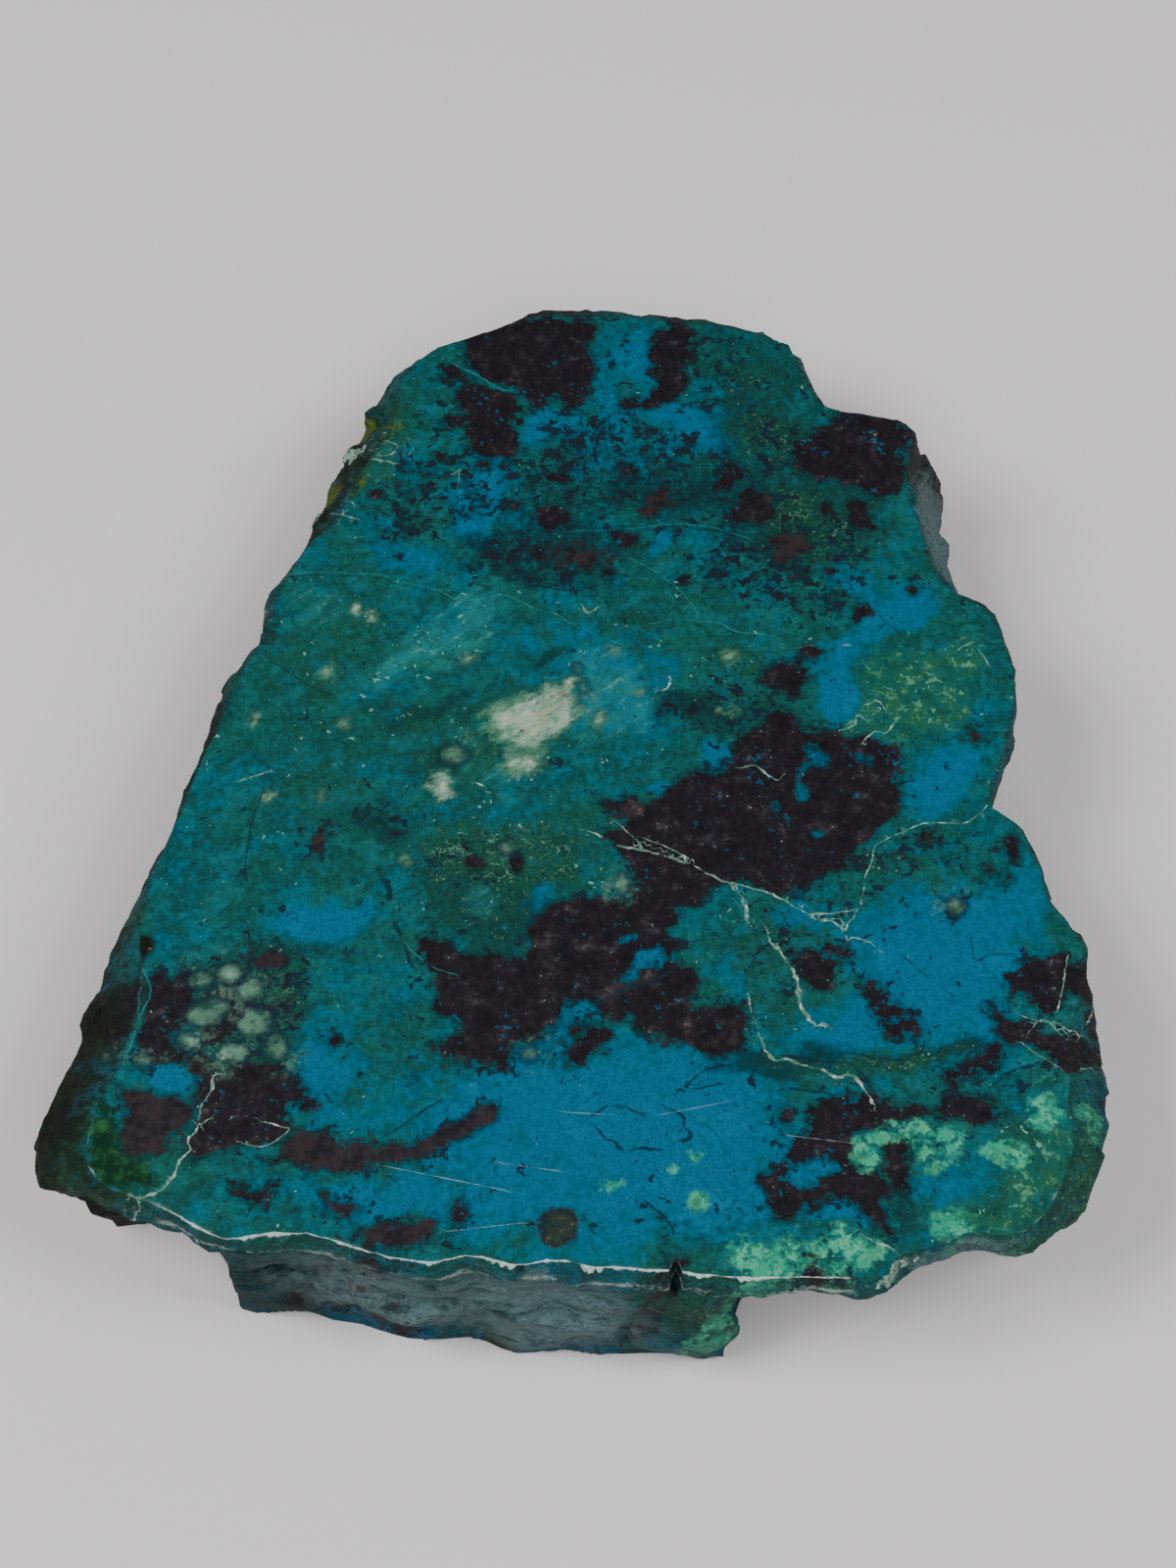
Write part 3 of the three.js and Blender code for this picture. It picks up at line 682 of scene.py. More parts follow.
# The middle: cloudy green with a cream knot on the left, the broad black mass on the right
MIDDLE_MARKS = (
    Patch(Mark.OXIDE, (
        (7, 0), (7.3, 0.9), (8.3, 1.2), (8.6, 1.9), (9.6, 2), (9.8, 1.2), (10.6, 0.9), (11.5, 0.8),
        (12.3, 0.5), (13, 0.6), (13.6, 0.2), (14.3, 0), (14.5, -0.8), (14.2, -1.4), (13.8, -1.6),
        (14.4, -2.5), (14.5, -3), (14.2, -3.6), (13.3, -4.3), (13, -4.9), (12.5, -5.2), (11.9, -5.7),
        (11.7, -6.2), (11, -6.6), (10, -7.1), (9.6, -7.6), (8.4, -7.8), (7.5, -7.3), (6.2, -7.2),
        (5, -8.3), (4.1, -8.6), (4, -9.3), (3.6, -9.8), (4, -10.4), (3.6, -10.8), (4, -11.6),
        (4.7, -11.8), (4.9, -12.4), (4.5, -13.1), (4.6, -13.8), (5.5, -13.6), (6.9, -13.8),
        (6.9, -14.8), (6.6, -15.6), (5.9, -16), (4.9, -15.8), (4.3, -15.4), (3.4, -15), (2.4, -14.8),
        (1.9, -14), (1, -14.4), (0.4, -13.2), (-0.3, -14.6), (-2, -15.2), (-3.3, -15.3), (-3.6, -16.6),
        (-4.4, -16.4), (-6, -16.3), (-6.6, -16), (-6.8, -15.6), (-6.2, -15.3), (-5.6, -15.1),
        (-5.5, -14.6), (-6, -14.2), (-6.6, -13.9), (-6.7, -13), (-6.9, -12.3), (-7.2, -11.4),
        (-7.5, -10.2), (-6.5, -10.4), (-5.6, -10.9), (-4.6, -11), (-2.9, -11.1), (-2.5, -10.3),
        (-2.8, -9.8), (-2.4, -9.3), (-2, -8.8), (-1.3, -8.3), (-0.8, -8.2), (0.9, -8.1), (1.5, -8.4),
        (2, -8), (2.2, -7.2), (2.1, -6.5), (1.7, -6), (1.2, -5.3), (0.7, -4.6), (1.6, -4.3),
        (1.7, -3.6), (0.6, -3.1), (2, -2.9), (3, -2.9), (3.7, -2.5), (4.3, -1.6), (5.6, -1.3),
        (6.3, -1.4), (6.6, -0.6),
    )),
    # Blue and teal windows in it
    Window((
        (10.1, 0.1), (10.8, -0.1), (11.1, -0.9), (11, -1.3), (10.5, -1), (10.2, -1.3), (9.8, -1.9),
        (10.2, -2.4), (10.1, -2.9), (9.7, -2.9), (9.6, -2.2), (9.7, -1.6), (9.9, -0.9),
    )),
    Window((
        (12.4, -0.2), (12.8, -0.35), (13.3, -0.85), (13.9, -1.6), (13.4, -1.4), (12.9, -1),
        (12.5, -0.6),
    )),
    Window(((8.5, -3), (8.8, -3.1), (8.7, -3.6), (8.5, -3.5))),
    Window(((9, -3.5), (9.3, -3.8), (9.2, -4.3), (9, -4))),
    Window(((10.3, -4.2), (10.7, -4.4), (10.6, -4.8), (10.3, -4.7))),
    Window((
        (1.3, -12.4), (1.8, -11.6), (2.2, -10.8), (3, -10.4), (3.6, -10.9), (3.2, -11.6), (2.4, -11.9),
        (1.8, -12.5),
    )),
    Window(((1.2, -10.5), (1.7, -10.1), (2.2, -10), (1.8, -10.4))),
    Window((
        (-1.5, -14.2), (-1, -13.4), (-0.1, -13.2), (0.2, -13.8), (-0.2, -14.4), (-0.9, -15.2),
        (-1.4, -15.9), (-2, -15.3),
    )),
    Window(((-2, -7.5), (-1.8, -8.2), (-2.3, -8.8), (-2.6, -9.2), (-2.9, -8.4))),
    Window(((-2.9, -15.6), (-2.2, -15.5), (-2.1, -16.2), (-2.7, -16.5), (-3.1, -16.1))),
    Patch(Mark.OXIDE, (
        (0.2, -14.5), (0.9, -14.8), (1, -15.2), (0.3, -15.8), (-0.4, -16.5), (-0.9, -16.2),
        (-0.6, -15.5), (-0.1, -15),
    )),
    Patch(Mark.OXIDE, (
        (8.9, 4.7), (10.4, 4.6), (10.6, 4.1), (10, 3.6), (9.9, 2.8), (9.2, 3.1), (8.4, 3.4), (8, 3.9),
        (8.6, 4.3),
    )),
    Blot(Mark.OXIDE, 10.6, 5.4, 0.45, 0.25),
    # Where the mass turns reddish
    Cloud(Mark.RUSTING, 1.4, -3.6, 1.1, 0.9, 0, 1),
    Cloud(Mark.RUSTING, 5, -14.8, 2.2, 1.2, 0, 0.6),
    Cloud(Mark.RUSTING, 12, -4.6, 2.6, 2, 0, 0.5),
    Cloud(Mark.RUSTING, 9, 3.4, 1.2, 1, 0, 0.5),
    Cloud(Mark.RUSTING, -19, -19.2, 2.2, 1.8, 0, 1),
    Cloud(Mark.RUSTING, -9.6, -20.8, 3, 0.8, 0, 0.9),
    Cloud(Mark.RUSTING, 0, 10.9, 2.4, 1.2, 0, 0.6),
    Cloud(Mark.RUSTING, 2, -12.8, 2, 0.7, 20, 0.8),
    Cloud(Mark.RUSTING, -1.5, -10.4, 2.6, 1.2, 0, 0.4),
    Streak(Mark.CRACK, 0.4, ((0.5, -13.4), (1.5, -12.8), (2.6, -12.4), (3.5, -12))),
    Streak(Mark.CREAM_VEIN, 0.14, ((7.1, -1.1), (7.8, -1), (8.3, -1.5), (8.8, -1.8), (9, -1.5))),
    # The dark line and light sliver left of the mass
    Streak(Mark.CRACK, 0.55, ((-9.4, -6.7), (-9.1, -7.4), (-8.8, -8.5))),
    Streak(Mark.CRACK, 0.36, ((-8.8, -8.3), (-8.6, -9.5), (-8.2, -10.6), (-7.8, -11.6))),
    Streak(Mark.PALE_VEIN, 0.12, ((-8.3, -10.3), (-7.5, -11.2), (-6.8, -11.7), (-6, -12))),
    Blot(Mark.OXIDE, -5.2, -6.2, 0.45, 0.3),
    Blot(Mark.OXIDE, -3.3, -6.4, 0.35, 0.3),
    Blot(Mark.RUST, -12.3, -4.9, 0.25, 0.8),
    # The speckled disc
    Cloud(Mark.SPECKS, -10, -4.7, 1.2, 1.2, 0, 1),
    Cloud(Mark.MURK, -10, -4.7, 1.2, 1.1, 0, 0.8),
    # The cream knot, its satellites and its pale tail
    Patch(Mark.CREAM, (
        (-1.5, 3.8), (-0.9, 3), (-0.5, 2.3), (-0.8, 1.5), (-1.4, 0.8), (-2.2, 0.2), (-3.3, -0.1),
        (-3.9, 0.4), (-4.4, 1.1), (-4.7, 1.7), (-4.4, 2.2), (-3.7, 2.4), (-3, 2.8), (-2.2, 3.3),
    )),
    Cloud(Mark.STAINING, -1.5, 1.9, 0.9, 0.5, 65, 0.85),
    Cloud(Mark.OLIVE, -3.4, 0.6, 2.4, 2.4, 0, 0.8),
    Blot(Mark.CREAM, -3, -1, 0.8, 0.55, 20),
    Blot(Mark.CREAM, -1.1, 3.1, 0.4, 0.9, -25),
    Blot(Mark.PEBBLE, -3.5, -0.5, 0.5, 0.35),
    Blot(Mark.PEBBLE, -6.2, -0.4, 0.6, 0.5),
    Blot(Mark.CREAM, -6.8, -2.1, 0.55, 0.7),
    Blot(Mark.PEBBLE, -0.3, 3.6, 0.25, 0.5, 20),
    Blot(Mark.PEBBLE, -0.5, 4.4, 0.2, 0.3),
    Blot(Mark.CREAM, 0.5, 1.5, 0.2, 0.38, -20),
    Blot(Mark.CREAM, -5.7, 5, 0.3, 0.2, 30),
    Streak(Mark.CREAM_VEIN, 0.2, ((3.4, 4), (3.75, 4.05), (3.9, 3.7), (3.75, 3.35), (3.45, 3.2))),
    Streak(Mark.CREAM_VEIN, 0.16, ((-5.1, -2), (-4.8, -2.1), (-4.7, -2.4), (-4.35, -2.5))),
    Streak(Mark.CREAM_VEIN, 0.14, ((-0.2, 7.9), (0, 7.65), (0.3, 7.85))),
    Cloud(Mark.VEIL, -5.4, 0.6, 0.9, 0.8, 0, 0.5),
    Cloud(Mark.VEIL, -0.4, 3.8, 0.8, 1.4, 0, 0.6),
    Cloud(Mark.VEIL, -3.2, -0.8, 1.8, 1.4, 0, 0.5),
    Cloud(Mark.VEIL, -7, 6.2, 4.2, 1.6, 40, 0.8),
    Cloud(Mark.VEIL, -9.4, 4, 0.7, 1.4, -20, 0.7),
    Cloud(Mark.VEIL, -13, 8.5, 1.6, 1.7, 0, 0.55),
    Cloud(Mark.VEIL, 1.4, -6.9, 1.1, 1.1, 0, 0.55),
    Cloud(Mark.VEIL, -5.2, -8.8, 1.3, 0.9, 0, 0.6),
    Blot(Mark.PEBBLE, 1.5, -7.3, 0.35, 0.45),
    Blot(Mark.PEBBLE, -3.6, -5.3, 0.4, 0.28, 10),
    Blot(Mark.CREAM, -11.1, 7.8, 0.12, 0.25, 20),
    Blot(Mark.CREAM, -10.3, 7.4, 0.14, 0.14),
    Blot(Mark.CREAM, -12.3, 4.2, 0.14, 0.1),
    Blot(Mark.CREAM, -15.5, 1.8, 0.12, 0.16),
    Blot(Mark.CREAM, -15.6, 1.4, 0.1, 0.1),
    Blot(Mark.CREAM, -11.4, 1.35, 0.12, 0.22, 30),
    Blot(Mark.CREAM, -12.3, -2.6, 0.12, 0.12),
    Blot(Mark.CREAM, -14.8, -2.7, 0.1, 0.2),
    Blot(Mark.CREAM, 2.5, 3.1, 0.16, 0.12),
    Blot(Mark.CREAM, 6.4, 2.1, 0.3, 0.1, -15),
    Blot(Mark.CREAM, 6.7, 5.1, 0.18, 0.25),
    Blot(Mark.CREAM, 1.2, 5.5, 0.12, 0.1),
    Blot(Mark.CREAM, -8.4, -6.05, 0.18, 0.14),
    # The green and olive clouds, and their dark slanting bands
    Cloud(Mark.OLIVE, -7, 0.4, 3.6, 3.4, 0, 0.6),
    Cloud(Mark.OLIVE, -4.5, -5.4, 4.8, 2.8, 0, 0.95),
    Cloud(Mark.OLIVE, -12.5, 5, 3.2, 4.6, -20, 0.7),
    Cloud(Mark.OLIVE, 7.4, 3.6, 2.8, 2.8, 0, 0.65),
    Cloud(Mark.OLIVE, 8.4, -11.6, 2.6, 4, 0, 0.6),
    Cloud(Mark.OLIVE, 14.2, -6.6, 2.6, 1.8, 0, 0.6),
    Cloud(Mark.OLIVE, -12.6, -2.4, 2.6, 3.4, 0, 0.6),
    Cloud(Mark.OLIVE, 2.2, 7, 2.6, 0.9, 10, 0.6),
    Cloud(Mark.OLIVE, -1, -4.2, 3, 2.6, 0, 0.5),
    Cloud(Mark.OLIVE, 4, 5.6, 2.6, 1, 0, 0.4),
    Cloud(Mark.MURK, -7.2, 2.3, 2.8, 0.5, 22, 0.9),
    Cloud(Mark.MURK, -2.1, 4.4, 1.5, 0.5, 28, 0.9),
    Cloud(Mark.MURK, -7.6, -1.2, 1.8, 1.6, 0, 0.7),
    Cloud(Mark.MURK, -4.6, -5.6, 4.6, 2.4, 0, 0.6),
    Cloud(Mark.MURK, 5.4, 1.7, 2.4, 1.3, 0, 0.9),
    Cloud(Mark.MURK, 2.4, 7.3, 2, 0.5, 0, 0.6),
    Cloud(Mark.MURK, -16.4, 6, 1.2, 6, -25, 0.5),
    Cloud(Mark.MURK, -3.8, -9.6, 2.6, 1.2, 0, 0.6),
    Cloud(Mark.MURK, -4.9, -8.9, 3.4, 2.2, 0, 0.85),
    Cloud(Mark.OLIVE, -5, -9, 3.4, 2.2, 0, 0.6),
    Cloud(Mark.MURK, 2.2, -6.6, 2, 1.2, 0, 0.4),
    Cloud(Mark.SPECKS, 5.4, 1.7, 2.6, 1.6, 0, 0.7),
    Cloud(Mark.SPECKS, -5.2, -6.2, 3.4, 1.8, 0, 0.55),
    Cloud(Mark.SPECKS, 8.4, -11.4, 2.6, 3, 0, 0.6),
    Cloud(Mark.SPECKS, 7.6, 3.8, 2.6, 2.4, 0, 0.5),
    Cloud(Mark.SPECKS, 13.6, -5.4, 3, 1.4, 0, 0.5),
    Cloud(Mark.SPECKS, 2.2, -3, 2.4, 1.4, 0, 0.5),
    Cloud(Mark.SPECKS, -2.5, -12.6, 6.5, 4.4, 0, 0.5),
    Cloud(Mark.SPECKS, 10, -1.4, 6, 5.4, 0, 0.4),
    Cloud(Mark.SPECKS, -11.2, -3.4, 1.8, 1.8, 0, 0.5),
    # The green knob on the right, and the dark green tangle beside the mass
    Patch(Mark.MALACHITE, (
        (13, 4.5), (13.8, 5.1), (15, 5.4), (16.2, 5.3), (17, 5.6), (18.2, 6), (18.8, 5), (18.3, 4.4),
        (17.8, 3.6), (18, 2.4), (17.6, 1.6), (16.5, 1), (15.2, 0.7), (14.6, 0.2), (14, 0.1),
        (13.5, 0.6), (12.6, 0.7), (11.9, 0.6), (12, 1.4), (12.9, 2.3), (13.1, 2.8), (12.9, 3.6),
    )),
    Streak(Mark.CREAM_VEIN, 0.15, ((12, 1), (12.5, 1.3), (12.6, 1.8), (13.1, 1.6), (13.5, 2))),
    Streak(Mark.CREAM_VEIN, 0.13, ((12.9, 0.4), (13.4, 0.9), (13.9, 0.8), (14.3, 1.3))),
    Streak(Mark.CREAM_VEIN, 0.12, ((13.1, 2.4), (13.6, 2.6), (13.9, 2.2))),
    Streak(Mark.CREAM_VEIN, 0.17, ((17.6, 5.5), (18.2, 5.95), (18.7, 6.1), (19.2, 6))),
    Streak(Mark.CREAM_VEIN, 0.15, ((18.6, 5.5), (18.8, 5.1), (18.95, 4.8))),
    Blot(Mark.RUST, 18.3, 0.6, 0.4, 0.3),
    # Cracks through the left half
    Streak(Mark.CRACK, 0.1, ((-9.7, 6.15), (-9.2, 6.2), (-8.6, 6.8))),
    Streak(Mark.CRACK, 0.12, (
        (-16.3, 4.4), (-15.6, 4.8), (-14.8, 4.7), (-14.1, 4.2), (-12.9, 3.3), (-12, 2.95),
    )),
    Streak(Mark.CRACK, 0.1, ((-15, 2.5), (-14.4, 2), (-14.2, 0.9))),
    Streak(Mark.CRACK, 0.13, (
        (-15, -1.5), (-15.05, -2.5), (-15.4, -3.9), (-15.5, -5), (-15.6, -6.5), (-15.5, -7.1),
    )),
    Streak(Mark.CRACK, 0.1, ((-15.9, -8.1), (-16.4, -8.7), (-17, -9.2), (-18.3, -9.8))),
    Streak(Mark.CRACK, 0.1, ((14, 7.4), (14.8, 6.5), (15.5, 5.9))),
    Streak(Mark.CREAM_VEIN, 0.1, ((-16.2, -1.85), (-14.9, -1.35))),
    # The cream veins that cross the black mass, and their branches
    Streak(Mark.CREAM_VEIN, 0.17, (
        (-0.1, -4.5), (0.6, -4.8), (1.2, -5.3), (2.3, -5.5), (3.3, -5.8), (4.4, -6.2), (5.2, -6.6),
        (5.9, -7.1), (6.5, -7.3), (7.6, -7.6), (8.4, -7.9), (9.3, -8.5), (9.9, -8.9), (10.3, -9.2),
        (11.2, -9.4), (11.6, -10.2),
    )),
    Streak(Mark.CREAM_VEIN, 0.1, ((1.2, -3.9), (2, -4.8), (2.5, -5.4))),
    Streak(Mark.CREAM_VEIN, 0.1, ((2.5, -4.9), (3.6, -5.4), (4.8, -6.1))),
    Streak(Mark.CREAM_VEIN, 0.13, ((9.9, -8.9), (11, -8.9), (12.2, -8.7), (11.7, -9.4), (11.5, -10.1))),
    Streak(Mark.CREAM_VEIN, 0.1, (
        (12.2, -8.7), (12.5, -7.6), (12.6, -6.9), (12.9, -6.2), (13.1, -5.4), (13.6, -5), (14.4, -4.6),
        (15.2, -4.2), (15.9, -4.1), (17.3, -4.1), (18, -3.6), (18.4, -3.1),
    )),
    Streak(Mark.CREAM_VEIN, 0.1, ((11.8, -10.1), (12.5, -10.3), (13, -10.7))),
    Streak(Mark.CREAM_VEIN, 0.3, ((6.5, -7.5), (7.1, -8.3), (7.2, -9.1))),
    Streak(Mark.CREAM_VEIN, 0.3, (
        (7.9, -9.5), (8.2, -10.3), (8.6, -10.9), (9, -11.6), (9.3, -12.4), (9.4, -13.3), (9.6, -14),
        (9.9, -14.4), (10.5, -14.6),
    )),
    Streak(Mark.CREAM_VEIN, 0.15, ((7.1, -13), (7.2, -13.8), (7.4, -14.4))),
    Streak(Mark.CREAM_VEIN, 0.2, (
        (7.6, -15.2), (7.9, -15.9), (8.2, -16.3), (8.6, -16.2), (9.3, -16.5), (10.2, -16.7),
        (10.9, -17.1), (11.5, -17), (12.1, -17.8), (12.4, -18.4),
    )),
    Cloud(Mark.SPECKS, 12, -8, 5, 2.4, 0, 0.4),
)

# The front left: pebbles in a grey-green cloud, oxide and rust round them, a green and brown rind
FRONT_LEFT_MARKS = (
    Patch(Mark.OXIDE, (
        (-19.4, -12), (-18.8, -12.2), (-18.6, -13.5), (-18.3, -15.2), (-17.6, -15.9), (-16.8, -16),
        (-16.4, -16.5), (-16.2, -17.2), (-15.8, -17.9), (-15.2, -18.3), (-14, -18.4), (-13.3, -19),
        (-12.9, -19.5), (-13.4, -20.1), (-15, -20.4), (-17, -20.9), (-17.3, -20.2), (-16.8, -19.3),
        (-17, -17.9), (-17.2, -16.6), (-19.3, -16.3), (-19.7, -15.5), (-19.5, -12.8),
    )),
    Patch(Mark.RUST, (
        (-20.3, -17.6), (-19.3, -17.9), (-18, -18.2), (-17.2, -18.6), (-17.5, -19.4), (-18.3, -20),
        (-18.4, -20.7), (-19.6, -20.8), (-20.2, -20), (-20, -18.8),
    )),
    Patch(Mark.RUST, (
        (-13.2, -20), (-11.8, -19.9), (-10.5, -20.2), (-9.2, -20.5), (-7.9, -20.4), (-6.8, -20),
        (-6, -19.4), (-5, -18.9), (-4.4, -18.4), (-3.9, -18.6), (-4.2, -19.2), (-5, -19.7),
        (-5.8, -20.1), (-6.8, -20.7), (-8, -21.1), (-9.5, -21.3), (-11, -21.5), (-12.3, -21.2),
        (-13, -20.7),
    )),
    Streak(Mark.CRACK, 0.16, ((-8.8, -19.95), (-8, -19.4), (-7, -18.6), (-6.3, -18.2), (-5.7, -18.2))),
    Patch(Mark.OXIDE, ((-15.2, -22.5), (-14.2, -22.6), (-13.5, -22.1), (-13.7, -22.9), (-14.3, -23))),
    Blot(Mark.OXIDE, -13.6, -21.1, 0.3, 0.12),
    Patch(Mark.RUST, (
        (-11.4, -22.7), (-10.8, -23), (-9.9, -23.2), (-9.6, -23.5), (-10.3, -23.7), (-11, -23.4),
    )),
    Patch(Mark.RUST, (
        (-9.5, -24.2), (-8, -24.1), (-7, -23.8), (-6.5, -23.8), (-6.6, -24.4), (-7.2, -24.9),
        (-8, -25.2), (-9.3, -25),
    )),
    Patch(Mark.OXIDE, ((-5.5, -23.1), (-5.2, -23.7), (-5.4, -24.1), (-5.8, -24), (-5.9, -23.6))),
    Blot(Mark.RUST, -14.2, -11.3, 0.7, 0.4),
    Streak(Mark.CRACK, 0.12, ((-12.8, -12.9), (-11.5, -12.9))),
    Blot(Mark.OXIDE, -12.1, -18.3, 0.3, 0.15),
    Blot(Mark.OXIDE, -13.5, -18.5, 0.18, 0.18),
    Blot(Mark.OXIDE, -11.1, -15.3, 0.14, 0.14),
    # The pebbles
    Patch(Mark.OXIDE, (
        (-16.6, -12.6), (-15.4, -12.2), (-14.9, -13.5), (-15.6, -14.8), (-16.2, -15.6), (-17.2, -15), (-16.2, -13.9),
    )),
    Patch(Mark.OXIDE, (
        (-16.2, -16.6), (-14.6, -16.3), (-13.2, -16.8), (-12.7, -18), (-13.8, -19), (-15.4, -18.4), (-16.6, -17.6),
    )),
    Patch(Mark.OXIDE, ((-18.7, -12.9), (-18, -11.9), (-17.5, -12.1), (-17.6, -13.3), (-18, -14.6), (-18.9, -14.8))),
    Blot(Mark.PEBBLE, -16.8, -13.9, 0.95, 0.6, 15),
    Blot(Mark.PEBBLE, -15, -12.8, 0.55, 0.5),
    Blot(Mark.PEBBLE, -16, -11.9, 0.5, 0.45),
    Blot(Mark.PEBBLE, -17.6, -15.3, 0.5, 0.42),
    Blot(Mark.PEBBLE, -19.5, -16.3, 0.28, 0.25),
    Blot(Mark.PEBBLE, -14.7, -14.4, 0.75, 0.6, 20),
    Blot(Mark.PEBBLE, -13.7, -15.6, 0.5, 0.6),
    Blot(Mark.PEBBLE, -15.6, -15.9, 0.75, 0.5),
    Blot(Mark.PEBBLE, -17.3, -12.3, 0.5, 0.4),
    Blot(Mark.PEBBLE, -2.6, -16, 0.4, 0.3, 20),
    Cloud(Mark.VEIL, -15.8, -14, 2.8, 3.2, 0, 0.3),
    Cloud(Mark.RUSTING, -16, -14, 3, 3.6, 0, 0.3),
    Cloud(Mark.OLIVE, -15.4, -14, 3.2, 3.6, 0, 0.9),
    Cloud(Mark.MURK, -15.4, -14.4, 3.2, 3.8, 0, 0.75),
    Cloud(Mark.SPECKS, -15.4, -13.8, 3.2, 4, 0, 0.85),
    Cloud(Mark.MURK, -12.4, -11, 4, 1, 0, 0.4),
    Cloud(Mark.OLIVE, -2, -15.6, 2.6, 1.4, 0, 0.5),
    Cloud(Mark.MURK, -1.6, -14.8, 2.4, 1.6, 0, 0.6),
    # The rind's boundary line, and the green and white at the corner
    Streak(Mark.PALE_VEIN, 0.16, (
        (-19.9, -11.6), (-19.4, -12.9), (-19.8, -14.1), (-20.1, -15.5), (-20.6, -16.7), (-21.1, -17.9),
        (-21.4, -18.5), (-21.7, -20.9),
    )),
    Patch(Mark.RIND, (
        (-19.6, -10), (-19.9, -11.6), (-19.5, -12.9), (-19.9, -14.1), (-20.2, -15.5), (-20.7, -16.7),
        (-21.2, -17.9), (-21.5, -18.5), (-21.8, -20.9), (-22.2, -22), (-26, -22.6), (-26, -10),
    )),
    Patch(Mark.GRASS, (
        (-21.4, -17.6), (-20.6, -18.6), (-19.9, -20.2), (-18.6, -21.4), (-18.4, -22.2), (-19.8, -22.7), (-21, -22.4),
        (-21.7, -20.9),
    )),
    Patch(Mark.CREAM, (
        (-22.6, -22.1), (-21.8, -22.5), (-20.6, -23), (-19.6, -23.3), (-19.9, -23.6), (-21.2, -23.3),
        (-22.4, -22.8),
    )),
    Streak(Mark.CREAM_VEIN, 0.13, ((-22.8, -21.9), (-21.4, -22.4), (-20, -23.1), (-19, -23.3))),
    Streak(Mark.CREAM_VEIN, 0.2, (
        (-16.1, -16.95), (-16.4, -17), (-16.4, -17.7), (-16.8, -18.5), (-16.85, -19), (-16.9, -19.5),
        (-17.3, -20.2), (-17.1, -20.6), (-17.5, -21), (-17.7, -21.7), (-18.2, -22.4), (-18.7, -22.7),
        (-19.4, -22.9),
    )),
    Streak(Mark.CREAM_VEIN, 0.13, ((-16.9, -19.4), (-16.4, -19.1))),
    Streak(Mark.CREAM_VEIN, 0.09, ((-12.9, -19.6), (-13.4, -20.1), (-14.1, -20.45), (-14.9, -20.3))),
    Streak(Mark.CREAM_VEIN, 0.1, ((-14.2, -19.2), (-13, -19.55))),
    Window((
        (-18.9, -16.9), (-18.2, -16.75), (-17.5, -17), (-17.6, -17.5), (-18.3, -17.6), (-18.8, -17.4),
    )),
    # The faint polishing scratches
    Streak(Mark.SCRATCH, 0.06, ((-9, -21.3), (-3.5, -22.5))),
    Streak(Mark.SCRATCH, 0.06, ((-6, -24.4), (-2.8, -24))),
    Streak(Mark.SCRATCH, 0.07, ((-1, -18.8), (0.8, -18.9))),
    Streak(Mark.SCRATCH, 0.06, ((3.2, -18.9), (6, -18.3))),
    Streak(Mark.SCRATCH, 0.05, ((-3.8, -21.2), (-1.2, -21.6))),
    Streak(Mark.SCRATCH, 0.05, ((8.6, -19.9), (11.6, -20.3))),
)

